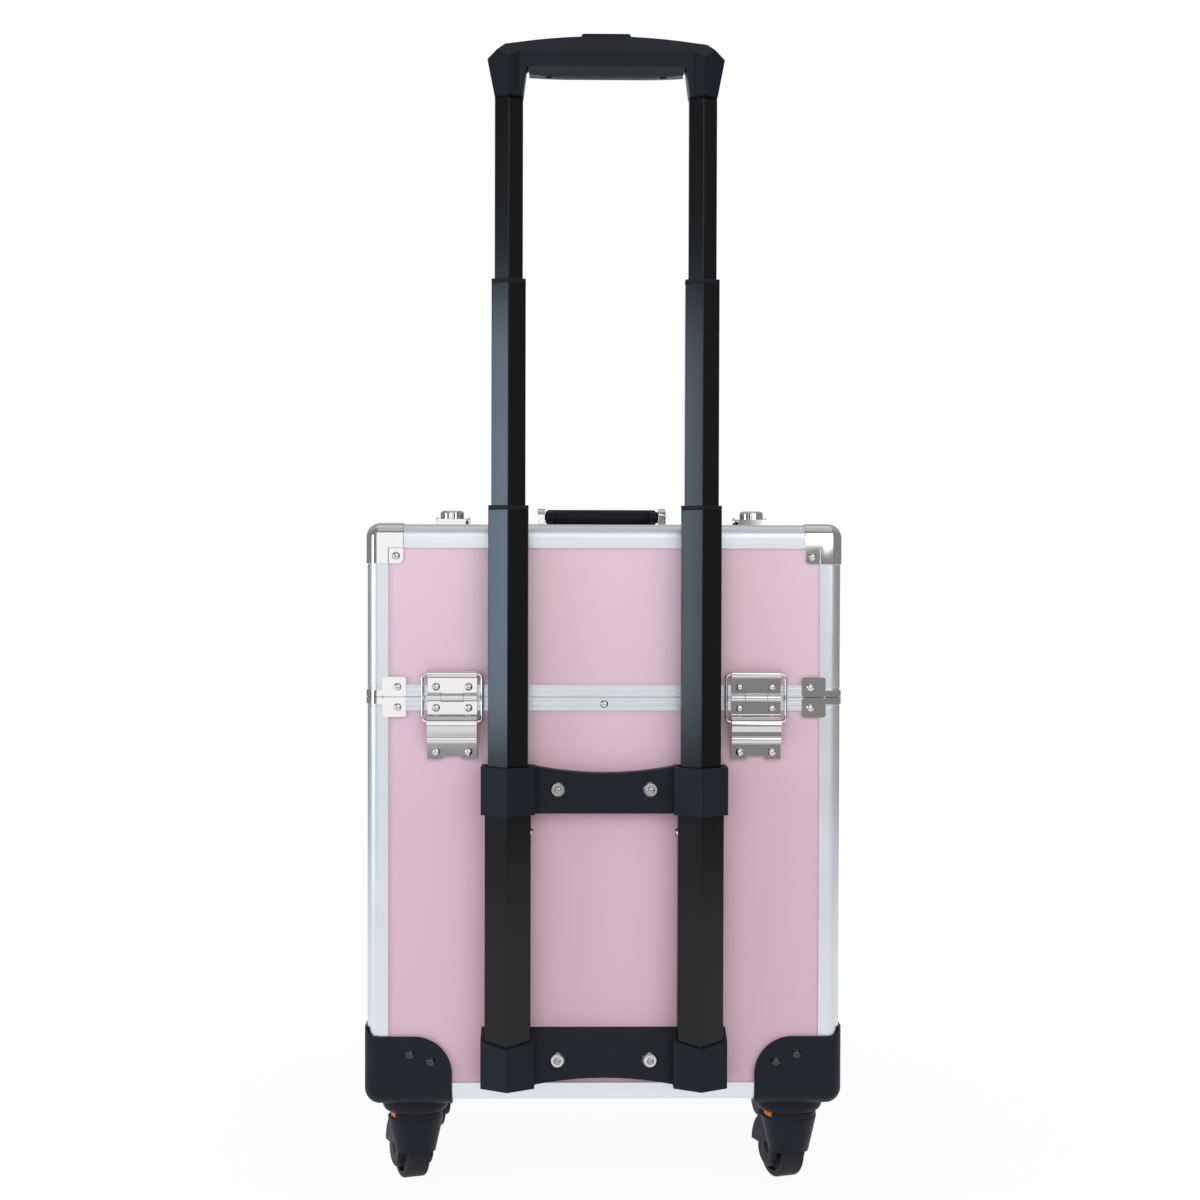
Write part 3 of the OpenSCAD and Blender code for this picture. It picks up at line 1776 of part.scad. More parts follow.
base_panels();
base_frame();
base_rim();
base_clips();
base_rivets();
hinge_lower_leaves();
hinge_pins();
caster_housings();
housing_screws();
swivel_rings();
upper_crosspiece();
lower_crosspiece();
crosspiece_bolts();
fixed_tubes();
fixed_guides();
front_lid_panels();
front_lid_frame();
front_lid_corners();
front_lid_clips();
front_lid_rivets();
front_hinge_leaves();
latch_plates();
handle_mounts();
rear_lid_panels();
rear_lid_frame();
rear_lid_corners();
rear_lid_clips();
rear_lid_rivets();
rear_hinge_leaves();
latch_catches();
front_stay_loops();
rear_stay_loops();
front_lower_tray();
front_upper_tray();
rear_lower_tray();
rear_upper_tray();
front_tray_links();
rear_tray_links();
left_hasp();
right_hasp();
carry_grip();
stage1_tubes();
stage1_guides();
stage2_tubes();
stage2_guides();
stage3_tubes();
stage3_feet();
grip_shell();
grip_underside();
release_rods();
push_button();
rear_left_fork();
rear_right_fork();
front_left_fork();
front_right_fork();
rear_left_wheel();
rear_right_wheel();
front_left_wheel();
front_right_wheel();
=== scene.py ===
"""Finishes, small trim and a plain studio for the rolling makeup case."""

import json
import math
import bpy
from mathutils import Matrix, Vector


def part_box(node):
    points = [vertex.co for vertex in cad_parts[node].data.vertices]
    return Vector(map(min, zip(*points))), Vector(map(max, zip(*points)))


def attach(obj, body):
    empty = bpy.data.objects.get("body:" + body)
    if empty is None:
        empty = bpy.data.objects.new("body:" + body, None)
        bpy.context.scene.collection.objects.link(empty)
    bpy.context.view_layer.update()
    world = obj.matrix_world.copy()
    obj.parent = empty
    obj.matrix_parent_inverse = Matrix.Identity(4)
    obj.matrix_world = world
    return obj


bl_info = {
    "name": "Rolling makeup case",
    "version": (1, 0, 0),
    "blender": (4, 5, 0),
    "location": "View3D > Sidebar > Makeup case",
    "description": "Dresses the solids of a rolling makeup case and lights them in a plain studio",
    "category": "Object",
}

import bmesh
import bpy
from bpy.props import FloatProperty, FloatVectorProperty, PointerProperty
from mathutils import Matrix, Vector

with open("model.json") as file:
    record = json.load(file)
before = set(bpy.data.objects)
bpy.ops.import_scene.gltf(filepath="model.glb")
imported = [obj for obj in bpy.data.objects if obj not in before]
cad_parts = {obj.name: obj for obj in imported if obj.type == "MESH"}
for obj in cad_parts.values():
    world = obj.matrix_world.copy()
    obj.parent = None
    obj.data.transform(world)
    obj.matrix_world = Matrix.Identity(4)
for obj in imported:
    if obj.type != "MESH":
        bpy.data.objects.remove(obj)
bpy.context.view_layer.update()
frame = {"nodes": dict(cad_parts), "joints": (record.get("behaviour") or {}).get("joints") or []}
NODES = frame["nodes"]

MM = 0.001
IMAGE_PX = 1200
SENSOR_MM = 36.0

# Sizes of the solids that the finishes and the trim line up with.
PANEL_HALF = 1.5 * MM
RIB_PITCH = 3.6 * MM
RIM_HALF = 10.1 * MM
BOTTOM_RAIL = 14.5 * MM
TOP_RAIL = 18.0 * MM
TUBE_OFFSET = 72.5 * MM
TUBE_HALF = 17.25 * MM
TUBE_STEP = 2.25 * MM
TUBE_SLOPE = math.radians(32.6)
AXLE_HALF = 14.5 * MM
BOLT_INSET = 6.0 * MM
BOLT_SOCKET = 1.3 * MM
TRAY_WALL = 2.0 * MM

# Places and heights of the small trim.
BOLT_CAP_PROUD = 0.9 * MM
AXLE_CAP_HEIGHT = 1.2 * MM
SCREW_DROP = 46.0 * MM
MAT_GAP = 0.6 * MM
MAT_ROUND = 0.5 * MM
LOCK_BEHIND_LID = 2.5 * MM
LOCK_SUNK = 2.0 * MM
LOCK_RADII = (2.9 * MM, 2.7 * MM)
LOCK_HEIGHT = 1.0 * MM
LOCK_RING = 0.8 * MM
KEYHOLE_DEPTH = 0.6 * MM
KEYHOLE_SHAPE = (0.45, 1.2, 1.0)

# How the meshes are joined, smoothed and rounded.
JOIN_DISTANCE = 0.01 * MM
SMOOTH_ANGLE = math.radians(28.0)
FLAT_ANGLE = math.radians(0.4)
ROUND_ANGLE = math.radians(32.0)
TRIM_ANGLE = math.radians(30.0)
FLAT_WEIGHT = 80
TINY = 1e-6

# Colours that no setting changes.
WHITE = (1.0, 1.0, 1.0)
RUBBED_PINK = (0.45, 0.30, 0.38)
GRIP_GREY = (0.013, 0.017, 0.025)
TRAY_BLACK = (0.03, 0.03, 0.033)
RUBBER_BLACK = (0.017, 0.018, 0.02)
MAT_TONES = ((0.012, 0.012, 0.014), (0.045, 0.045, 0.05), (0.03, 0.03, 0.034))
FLOOR_GREY = (0.86, 0.86, 0.86, 1.0)
FLOOR_DROP = 0.4 * MM

# Soft panels: place, point they face, width and height, power setting and share of it, tint.
PANELS = {
    "front_left_panel": (
        (-0.78, -3.0, 1.32), (0.0, 0.0, 0.5), (1.9, 2.6), "front_power", 0.42, WHITE),
    "front_right_panel": (
        (1.4, -3.0, 1.75), (0.0, 0.0, 0.6), (2.4, 2.6), "front_power", 0.8, WHITE),
    "side_panel": (
        (-1.45, -0.78, 0.53), (0.0, -0.12, 0.5), (0.3, 0.64), "side_power", 1.0, (0.62, 0.82, 1.0)),
    "top_panel": (
        (0.1, -0.3, 2.6), (0.0, 0.0, 0.4), (2.2, 2.2), "top_power", 1.0, WHITE),
}


def colour_setting(name, description, default):
    """A colour of a property group."""
    return FloatVectorProperty(
        name=name, description=description, default=default, subtype="COLOR", size=3,
        min=0.0, max=1.0)


def size_setting(name, description, default, low, high):
    """A length of a property group, written in millimetres."""
    return FloatProperty(
        name=name, description=description, default=default * MM, unit="LENGTH",
        min=low * MM, max=high * MM)


def power_setting(name, description, default):
    """The power of a lamp in a property group."""
    return FloatProperty(
        name=name, description=description, default=default, min=0.0, unit="POWER")


class CaseFinish(bpy.types.PropertyGroup):
    """Colours and gloss of the case"""

    pink: colour_setting("Panel pink", "Skin of the wall panels", (0.658, 0.438, 0.526))
    # Painted light: a paler pink painted near the tops of the lids, standing in for light from
    # above; the grain specks use the same pink.
    lit_top_and_speck_pink: colour_setting(
        "Top pink", "Skin of the panels near the top of the lids", (0.740, 0.540, 0.622))
    aluminium: colour_setting("Aluminium", "Anodised edge profiles", (0.755, 0.795, 0.835))
    chrome: colour_setting("Chrome", "Corners, clips and latches", (0.70, 0.69, 0.68))
    tube_black: colour_setting(
        "Tube black", "Coat of the pull handle tubes", (0.0026, 0.0028, 0.0034))
    plastic_black: colour_setting(
        "Plastic black", "Moulded grip, crosspieces and casters", (0.0080, 0.0105, 0.0160))
    ring_orange: colour_setting("Ring orange", "Swivel rings of the casters", (0.75, 0.17, 0.03))
    lining: colour_setting(
        "Lining", "Cloth on the inner sides of the panels", (0.016, 0.016, 0.018))
    tube_gloss: FloatProperty(
        name="Tube roughness", description="Roughness of the tube coat", default=0.16,
        min=0.0, max=1.0, subtype="FACTOR")


class CaseTrim(bpy.types.PropertyGroup):
    """Sizes of the small trim"""

    mat: size_setting("Tray mat", "Thickness of the foam mat in a tray", 1.5, 0.5, 4.0)
    axle_cap: size_setting("Axle cap", "Radius of a cap over a wheel axle", 4.6, 3.0, 7.0)
    bolt_cap: size_setting("Bolt cap", "Radius of the dome in a crosspiece bolt", 3.6, 2.0, 4.3)
    guide_screw: size_setting(
        "Guide screw", "Radius of the guide screws in the tubes", 2.3, 1.0, 3.0)


class CaseStudio(bpy.types.PropertyGroup):
    """Camera and light"""

    camera_place: FloatVectorProperty(
        name="Camera", description="Place of the camera", subtype="TRANSLATION", size=3,
        unit="LENGTH", default=(-0.0304, -1.6902, 0.4851))
    camera_turn: FloatVectorProperty(
        name="Camera turn", description="Yaw, pitch and roll of the camera", subtype="EULER",
        size=3, unit="ROTATION",
        default=(math.radians(0.977), math.radians(1.204), math.radians(0.144)))
    focal_px: FloatProperty(
        name="Focal length", description="Focal length in pixels of the square image",
        default=2089.7, min=200.0)
    ambient: FloatProperty(
        name="Ambient", description="Strength of the light from all round", default=0.66, min=0.0)
    floor_radius: FloatProperty(
        name="Floor", description="Radius of the floor", default=1.7, min=1.3, unit="LENGTH")
    front_power: power_setting("Front panels", "Power of the panels behind the camera", 36.0)
    side_power: power_setting("Side panel", "Power of the panel at the left", 6.2)
    top_power: power_setting("Top panel", "Power of the panel overhead", 5.0)


def add(tree, kind, sockets=None, **settings):
    """Adds a node; a socket is named or numbered, and gets a value or a link."""
    node = tree.nodes.new(kind)
    for name, value in settings.items():
        setattr(node, name, value)
    for name, value in (sockets or {}).items():
        if isinstance(value, bpy.types.NodeSocket):
            tree.links.new(value, node.inputs[name])
        else:
            node.inputs[name].default_value = value
    return node


def math_node(tree, operation, a, b=0.0):
    """A Math node, by its output."""
    return add(tree, "ShaderNodeMath", {0: a, 1: b}, operation=operation).outputs[0]


def vector_node(tree, operation, sockets, output=0):
    """A Vector Math node, by its output."""
    return add(tree, "ShaderNodeVectorMath", sockets, operation=operation).outputs[output]


def map_range(tree, value, low, high, to_low, to_high):
    """A Map Range node, by its output."""
    return add(tree, "ShaderNodeMapRange", {
        "Value": value, "From Min": low, "From Max": high, "To Min": to_low, "To Max": to_high,
    }).outputs["Result"]


def rgba(colour):
    """A colour with its alpha, or the socket that gives one."""
    return colour if isinstance(colour, bpy.types.NodeSocket) else (*colour[:3], 1.0)


def mix_colour(tree, factor, first, second):
    """A colour between two colours, by its output."""
    return add(tree, "ShaderNodeMix", {
        0: factor, 6: rgba(first), 7: rgba(second)}, data_type="RGBA").outputs[2]


def stretched(tree, vector, scale):
    """A vector scaled along each axis, by its output."""
    return add(tree, "ShaderNodeMapping", {"Vector": vector, "Scale": scale}).outputs[0]


def new_group(name, inputs, outputs):
    """A shader node group with float or vector inputs, and float outputs."""
    group = bpy.data.node_groups.new(name, "ShaderNodeTree")
    for socket, default in inputs.items():
        kind = "NodeSocketVector" if default is None else "NodeSocketFloat"
        made = group.interface.new_socket(socket, in_out="INPUT", socket_type=kind)
        if default is not None:
            made.default_value = default
    for socket in outputs:
        group.interface.new_socket(socket, in_out="OUTPUT", socket_type="NodeSocketFloat")
    return group, group.nodes.new("NodeGroupInput"), group.nodes.new("NodeGroupOutput")


def grain_group():
    """Fine grain for a bump, and soft blotches where hands have rubbed."""
    name = "skin_grain"
    if name in bpy.data.node_groups:
        return bpy.data.node_groups[name]
    group, source, result = new_group(
        name, {"Vector": None, "Grain": 2500.0, "Blotch": 18.0}, ("Height", "Rub"))
    grain = add(group, "ShaderNodeTexNoise", {
        "Vector": source.outputs["Vector"], "Scale": source.outputs["Grain"], "Detail": 2.0})
    blotch = add(group, "ShaderNodeTexNoise", {
        "Vector": source.outputs["Vector"], "Scale": source.outputs["Blotch"], "Detail": 5.0,
        "Roughness": 0.6})
    rub = map_range(group, blotch.outputs[0], 0.35, 0.7, 0.0, 1.0)
    group.links.new(grain.outputs[0], result.inputs["Height"])
    group.links.new(rub, result.inputs["Rub"])
    return group


def drawn_lines_group():
    """Fine lines along a drawn or brushed metal: the vector is stretched along them."""
    name = "drawn_lines"
    if name in bpy.data.node_groups:
        return bpy.data.node_groups[name]
    group, source, result = new_group(
        name, {"Vector": None, "Density": 900.0}, ("Height", "Tone"))
    coarse = math_node(group, "MULTIPLY", source.outputs["Density"], 0.12)
    lines = add(group, "ShaderNodeTexNoise", {
        "Vector": source.outputs["Vector"], "Scale": source.outputs["Density"], "Detail": 3.0})
    bands = add(group, "ShaderNodeTexNoise", {
        "Vector": source.outputs["Vector"], "Scale": coarse, "Detail": 2.0})
    group.links.new(lines.outputs[0], result.inputs["Height"])
    group.links.new(bands.outputs[0], result.inputs["Tone"])
    return group


def edge_wear_group():
    """Mask of the outer edges, broken up as handling breaks them."""
    name = "edge_wear"
    if name in bpy.data.node_groups:
        return bpy.data.node_groups[name]
    group, source, result = new_group(name, {"Vector": None, "Radius": 0.8 * MM}, ("Edge",))
    rounded = add(group, "ShaderNodeBevel", {"Radius": source.outputs["Radius"]}, samples=4)
    flat = add(group, "ShaderNodeNewGeometry")
    likeness = vector_node(group, "DOT_PRODUCT", {
        0: rounded.outputs[0], 1: flat.outputs["Normal"]}, "Value")
    mask = map_range(group, likeness, 0.99, 0.88, 0.0, 1.0)
    chips = add(group, "ShaderNodeTexNoise", {
        "Vector": source.outputs["Vector"], "Scale": 320.0, "Detail": 4.0})
    chance = map_range(group, chips.outputs[0], 0.45, 0.62, 0.0, 1.0)
    group.links.new(math_node(group, "MULTIPLY", mask, chance), result.inputs["Edge"])
    return group


def place(tree, group, **inputs):
    """Puts a node group into a material, by its outputs."""
    return add(tree, "ShaderNodeGroup", inputs, node_tree=group).outputs


def new_material(name, plain):
    """A material with a Principled shader whose plain sockets are set.

    Gives the material, its tree, the shader and the Object vector.
    """
    material = bpy.data.materials.new(name)
    material.use_nodes = True
    tree = material.node_tree
    shader = tree.nodes["Principled BSDF"]
    for socket, value in plain.items():
        shader.inputs[socket].default_value = value
    vector = add(tree, "ShaderNodeTexCoord").outputs["Object"]
    return material, tree, shader, vector


def wire(tree, shader, colour, rough):
    """Links a colour and a roughness to a shader."""
    tree.links.new(colour, shader.inputs["Base Color"])
    tree.links.new(rough, shader.inputs["Roughness"])


def bump(tree, shader, height, strength, distance):
    """Bump on a shader's normal."""
    node = add(tree, "ShaderNodeBump", {
        "Height": height, "Strength": strength, "Distance": distance})
    tree.links.new(node.outputs[0], shader.inputs["Normal"])


def shade(colour, factor):
    """A colour made darker or lighter."""
    return tuple(min(1.0, c * factor) for c in colour)


def inner_side(tree, vector):
    """Mask of the surfaces that lie inside the mid planes of the wall panels."""
    low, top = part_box("base_panels")[0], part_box("rear_lid_panels")[1]
    high = Vector((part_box("base_panels")[1].x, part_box("front_lid_panels")[1].y, top.z))
    inset = Vector((PANEL_HALF, PANEL_HALF, PANEL_HALF))
    middle, reach = (low + high) / 2, (high - low) / 2 - inset
    away = vector_node(tree, "ABSOLUTE", {0: vector_node(tree, "SUBTRACT", {0: vector, 1: middle})})
    share = vector_node(tree, "DIVIDE", {0: away, 1: reach})
    parts = add(tree, "ShaderNodeSeparateXYZ", {0: share}).outputs
    most = math_node(tree, "MAXIMUM", parts["Y"], parts["Z"])
    return math_node(tree, "LESS_THAN", math_node(tree, "MAXIMUM", parts["X"], most), 1.0)


def panel_skin(finish):
    """Satin pink skin with a faint grain outside, paler towards the top of the lids as painted
    light from above, and dark lining cloth inside.
    """
    material, tree, shader, vector = new_material("pink_panel", {"Specular IOR Level": 0.4})
    grain = place(tree, grain_group(), Vector=vector, Grain=1600.0, Blotch=5.0)
    height = add(tree, "ShaderNodeSeparateXYZ", {0: vector}).outputs["Z"]
    low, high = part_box("base_panels")[0].z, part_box("rear_lid_panels")[1].z
    # Painted light: the pink turns paler from mid height up to the top of the lids, where the light
    # from above falls.
    painted_light_by_height = map_range(tree, height, (low + high) / 2, high, 0.0, 1.0)
    tone = mix_colour(tree, painted_light_by_height, finish.pink, finish.lit_top_and_speck_pink)
    rub = math_node(tree, "MULTIPLY", grain["Rub"], 0.06)
    rubbed = mix_colour(tree, rub, tone, RUBBED_PINK)
    speck = map_range(tree, grain["Height"], 0.3, 0.7, 0.0, 0.12)
    skin = mix_colour(tree, speck, rubbed, finish.lit_top_and_speck_pink)
    cloth = mix_colour(
        tree, grain["Height"], shade(finish.lining, 0.6), shade(finish.lining, 2.2))
    inside = inner_side(tree, vector)
    gloss = map_range(tree, grain["Rub"], 0.0, 1.0, 0.36, 0.46)
    rough = math_node(tree, "ADD", gloss, math_node(tree, "MULTIPLY", inside, 0.45))
    wire(tree, shader, mix_colour(tree, inside, skin, cloth), rough)
    bump(tree, shader, grain["Height"], 0.06, 0.2 * MM)
    return material


def profile_aluminium(finish):
    """Satin anodised extrusion: lines run up the posts and along the rails, and ribs the rim, with
    painted shade in the rib grooves.
    """
    material, tree, shader, vector = new_material("aluminium_profile", {"Metallic": 1.0})
    height = add(tree, "ShaderNodeSeparateXYZ", {0: vector}).outputs["Z"]
    bottom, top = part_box("base_frame")[0].z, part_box("rear_lid_frame")[1].z
    parting = (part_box("base_rim")[1].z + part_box("rear_lid_frame")[0].z) / 2
    low_rail = math_node(tree, "LESS_THAN", height, bottom + BOTTOM_RAIL)
    high_rail = math_node(tree, "GREATER_THAN", height, top - TOP_RAIL)
    from_parting = math_node(tree, "SUBTRACT", height, parting)
    rim = math_node(tree, "LESS_THAN", math_node(tree, "ABSOLUTE", from_parting), RIM_HALF)
    rails = math_node(tree, "MAXIMUM", low_rail, high_rail)
    run = add(tree, "ShaderNodeMix", {
        0: math_node(tree, "MAXIMUM", rails, rim),
        4: stretched(tree, vector, (1.0, 1.0, 0.012)),
        5: stretched(tree, vector, (0.012, 0.012, 1.0))}, data_type="VECTOR").outputs[1]
    lines = place(tree, drawn_lines_group(), Vector=run, Density=1100.0)
    marks = place(tree, grain_group(), Vector=vector, Grain=900.0, Blotch=22.0)
    drawn = mix_colour(
        tree, lines["Tone"], shade(finish.aluminium, 0.95), shade(finish.aluminium, 1.04))
    rib = math_node(tree, "PINGPONG", from_parting, RIB_PITCH / 2)
    hollow = map_range(tree, rib, 0.0, RIB_PITCH * 0.16, 1.0, 0.0)
    groove = math_node(tree, "MULTIPLY", rim, hollow)
    # Painted shade: the aluminium is darkened in the rib grooves of the rim, where shade falls.
    dark = math_node(tree, "MULTIPLY", groove, 0.45)
    wire(tree, shader, mix_colour(tree, dark, drawn, shade(finish.aluminium, 0.45)),
         map_range(tree, marks["Rub"], 0.0, 1.0, 0.34, 0.42))
    fine = math_node(tree, "MULTIPLY", lines["Height"], 0.1)
    bump(tree, shader, math_node(tree, "SUBTRACT", fine, groove), 0.5, 0.2 * MM)
    return material


def plated(name, finish, tint, smooth, rough, line_scale=(1.0, 1.0, 1.0)):
    """Bright plated sheet with faint lines and finger marks."""
    material, tree, shader, vector = new_material(name, {"Metallic": 1.0})
    run = stretched(tree, vector, line_scale)
    lines = place(tree, drawn_lines_group(), Vector=run, Density=1400.0)
    marks = place(tree, grain_group(), Vector=vector, Grain=1200.0, Blotch=60.0)
    base = shade(finish.chrome, tint)
    wire(tree, shader, mix_colour(tree, lines["Tone"], shade(base, 0.98), shade(base, 1.02)),
         map_range(tree, marks["Rub"], 0.0, 1.0, smooth, rough))
    bump(tree, shader, lines["Height"], 0.008, 0.1 * MM)
    return material


def moulded(name, colour, smooth, rough, grain_scale, grain_depth, worn, specular=0.14):
    """Moulded plastic with a fine skin, rubbed areas and paler worn edges."""
    material, tree, shader, vector = new_material(name, {"Specular IOR Level": specular})
    grain = place(tree, grain_group(), Vector=vector, Grain=grain_scale, Blotch=14.0)
    edge = place(tree, edge_wear_group(), Vector=vector, Radius=0.9 * MM)
    tone = mix_colour(tree, grain["Rub"], colour, shade(colour, 1.22))
    wear = math_node(tree, "MULTIPLY", edge["Edge"], worn)
    wire(tree, shader, mix_colour(tree, wear, tone, shade(colour, 3.5)),
         map_range(tree, grain["Rub"], 0.0, 1.0, rough, smooth))
    bump(tree, shader, grain["Height"], 0.12, grain_depth * MM)
    return material


def tube_coat(finish):
    """Black anodised drawn tube with fine lines up the tube."""
    material, tree, shader, vector = new_material("black_tube", {"Specular IOR Level": 0.28})
    run = stretched(tree, vector, (1.0, 1.0, 0.01))
    lines = place(tree, drawn_lines_group(), Vector=run, Density=800.0)
    marks = place(tree, grain_group(), Vector=vector, Grain=1500.0, Blotch=12.0)
    gloss = finish.tube_gloss
    black = finish.tube_black
    wire(tree, shader, mix_colour(tree, lines["Tone"], shade(black, 0.7), shade(black, 1.4)),
         map_range(tree, marks["Rub"], 0.0, 1.0, gloss, gloss + 0.03))
    bump(tree, shader, lines["Height"], 0.02, 0.1 * MM)
    return material


def lining_cloth():
    """Dark short-napped cloth of the tray mats."""
    material, tree, shader, vector = new_material("lining_cloth", {
        "Specular IOR Level": 0.2, "Sheen Weight": 0.3, "Sheen Roughness": 0.5})
    grain = place(tree, grain_group(), Vector=vector, Grain=1300.0, Blotch=12.0)
    low, high, rubbed = MAT_TONES
    tone = mix_colour(tree, grain["Height"], low, high)
    wire(tree, shader, mix_colour(tree, grain["Rub"], tone, rubbed),
         map_range(tree, grain["Rub"], 0.0, 1.0, 0.85, 0.95))
    bump(tree, shader, grain["Height"], 0.5, 0.4 * MM)
    return material


FINISHES = {}


def materials():
    """The finishes by name, made once; most names are slots of the record."""
    if FINISHES:
        return FINISHES
    finish = bpy.context.scene.case_finish
    black = finish.plastic_black
    # Tint of the chrome, roughness where clean and where touched, and scale of the lines.
    plates = {
        "chrome_trim": (1.0, 0.04, 0.07),
        "hinge_steel": (0.97, 0.05, 0.08, (0.02, 1.0, 1.0)),
        "steel_fastener": (0.9, 0.14, 0.26),
        "dark_chrome": (0.5, 0.06, 0.1),
        "bare_steel": (0.8, 0.24, 0.36, (1.0, 0.03, 0.03)),
    }
    # Colour, roughness where rubbed and elsewhere, grain scale, grain depth in mm, wear, specular.
    plastics = {
        "black_plastic": (black, 0.42, 0.52, 1800.0, 0.3, 0.18),
        "grip_plastic": (shade(black, 0.9), 0.36, 0.48, 1400.0, 0.3, 0.22),
        "grey_plastic": (GRIP_GREY, 0.38, 0.5, 1400.0, 0.3, 0.1, 0.3),
        "black_screw": (shade(black, 0.5), 0.12, 0.2, 900.0, 0.1, 0.05, 0.7),
        "tray_plastic": (TRAY_BLACK, 0.45, 0.55, 900.0, 0.5, 0.2),
        "wheel_rubber": (RUBBER_BLACK, 0.5, 0.62, 1100.0, 0.4, 0.15),
        "orange_ring": (finish.ring_orange, 0.3, 0.4, 1500.0, 0.2, 0.05),
    }
    FINISHES["pink_panel"] = panel_skin(finish)
    FINISHES["aluminium_profile"] = profile_aluminium(finish)
    for name, looks in plates.items():
        FINISHES[name] = plated(name, finish, *looks)
    FINISHES["black_tube"] = tube_coat(finish)
    for name, looks in plastics.items():
        FINISHES[name] = moulded(name, *looks)
    FINISHES["lining_cloth"] = lining_cloth()
    return FINISHES


def smoothing_group():
    """Geometry nodes that join a solid's loose triangles and smooth all but its sharp edges."""
    name = "join_and_smooth"
    if name in bpy.data.node_groups:
        return bpy.data.node_groups[name]
    group = bpy.data.node_groups.new(name, "GeometryNodeTree")
    for way in ("INPUT", "OUTPUT"):
        group.interface.new_socket("Geometry", in_out=way, socket_type="NodeSocketGeometry")
    source, result = group.nodes.new("NodeGroupInput"), group.nodes.new("NodeGroupOutput")
    joined = add(group, "GeometryNodeMergeByDistance", {
        "Geometry": source.outputs[0], "Distance": JOIN_DISTANCE})
    angle = add(group, "GeometryNodeInputMeshEdgeAngle")
    soft = add(group, "FunctionNodeCompare", {
        0: angle.outputs["Unsigned Angle"], 1: SMOOTH_ANGLE}, operation="LESS_EQUAL")
    faces = add(group, "GeometryNodeSetShadeSmooth", {
        "Geometry": joined.outputs[0], "Shade Smooth": True}, domain="FACE")
    edges = add(group, "GeometryNodeSetShadeSmooth", {
        "Geometry": faces.outputs[0], "Shade Smooth": soft.outputs[0]}, domain="EDGE")
    group.links.new(edges.outputs[0], result.inputs[0])
    return group


def dress(node, slot, round_mm=0.0, segments=2):
    """Gives a solid its finish, smooth curves and slightly rounded edges."""
    solid = NODES[node]
    solid.data.materials.clear()
    solid.data.materials.append(materials()[slot])
    smooth = solid.modifiers.new("join_and_smooth", "NODES")
    smooth.node_group = smoothing_group()
    if round_mm:
        flats = solid.modifiers.new("join_flats", "DECIMATE")
        flats.decimate_type = "DISSOLVE"
        flats.angle_limit = FLAT_ANGLE
        flats.delimit = {"SHARP"}
        bevel = solid.modifiers.new("edge_round", "BEVEL")
        bevel.width = round_mm * MM
        bevel.segments = segments
        bevel.limit_method = "ANGLE"
        bevel.angle_limit = ROUND_ANGLE
        bevel.use_clamp_overlap = True
        even = solid.modifiers.new("even_flats", "WEIGHTED_NORMAL")
        even.keep_sharp = True
        even.weight = FLAT_WEIGHT


def new_piece(name, shape, slot, body):
    """Makes a piece of the object from a bmesh: it rides on a body and takes a finish."""
    bmesh.ops.remove_doubles(shape, verts=shape.verts, dist=TINY)
    bmesh.ops.recalc_face_normals(shape, faces=shape.faces)
    mesh = bpy.data.meshes.new(name)
    for face in shape.faces:
        face.smooth = True
    shape.to_mesh(mesh)
    shape.free()
    mesh.set_sharp_from_angle(angle=TRIM_ANGLE)
    piece = bpy.data.objects.new(name, mesh)
    bpy.context.scene.collection.objects.link(piece)
    mesh.materials.append(materials()[slot])
    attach(piece, body)
    return piece


def add_block(shape, low, high, round_by, segments=3):
    """Adds a block between two corners to a bmesh, with rounded edges."""
    low, high = Vector(low), Vector(high)
    made = bmesh.ops.create_cube(shape, size=1.0, matrix=Matrix.LocRotScale(
        (low + high) / 2, None, high - low))
    edges = {e for v in made["verts"] for e in v.link_edges}
    bmesh.ops.bevel(shape, geom=list(edges), offset=round_by, segments=segments, profile=0.5,
                    affect="EDGES", material=-1)


def add_dome(shape, centre, axis, radius, height):
    """Adds a low dome that stands on a plane: centre on the plane, axis outwards."""
    centre, axis = Vector(centre), Vector(axis).normalized()
    turn = Vector((0, 0, 1)).rotation_difference(axis).to_matrix().to_4x4()
    size = Matrix.Diagonal((radius, radius, height, 1.0))
    made = bmesh.ops.create_uvsphere(
        shape, u_segments=24, v_segments=16, radius=1.0,
        matrix=Matrix.Translation(centre) @ turn @ size)
    inner = [v for v in made["verts"] if (v.co - centre).dot(axis) < -TINY]
    bmesh.ops.delete(shape, geom=inner, context="VERTS")


class MAKEUP_OT_panels(bpy.types.Operator):
    """Skin the wall panels in satin pink, with dark lining inside"""

    bl_idname = "makeup.panels"
    bl_label = "Panels"

    def execute(self, context):
        for node in ("base_panels", "front_lid_panels", "rear_lid_panels"):
            dress(node, "pink_panel")
        return {"FINISHED"}


class MAKEUP_OT_profiles(bpy.types.Operator):
    """Finish the edge profiles and rims as anodised aluminium"""

    bl_idname = "makeup.profiles"
    bl_label = "Profiles"

    def execute(self, context):
        for node in ("base_frame", "front_lid_frame", "rear_lid_frame", "base_rim"):
            dress(node, "aluminium_profile")
        return {"FINISHED"}


class MAKEUP_OT_corner_trim(bpy.types.Operator):
    """Plate the corner caps and clips, and finish the rivets"""

    bl_idname = "makeup.corner_trim"
    bl_label = "Corner trim"

    def execute(self, context):
        for node in ("front_lid_corners", "rear_lid_corners", "base_clips", "front_lid_clips",
                     "rear_lid_clips"):
            dress(node, "chrome_trim", 0.3)
        for node in ("base_rivets", "front_lid_rivets", "rear_lid_rivets"):
            dress(node, "steel_fastener")
        return {"FINISHED"}


class MAKEUP_OT_hinges(bpy.types.Operator):
    """Plate the spring hinges and their stay loops"""

    bl_idname = "makeup.hinges"
    bl_label = "Hinges"

    def execute(self, context):
        for node in ("hinge_lower_leaves", "front_hinge_leaves", "rear_hinge_leaves"):
            dress(node, "hinge_steel", 0.2)
        for node in ("hinge_pins", "front_stay_loops", "rear_stay_loops"):
            dress(node, "hinge_steel")
        return {"FINISHED"}


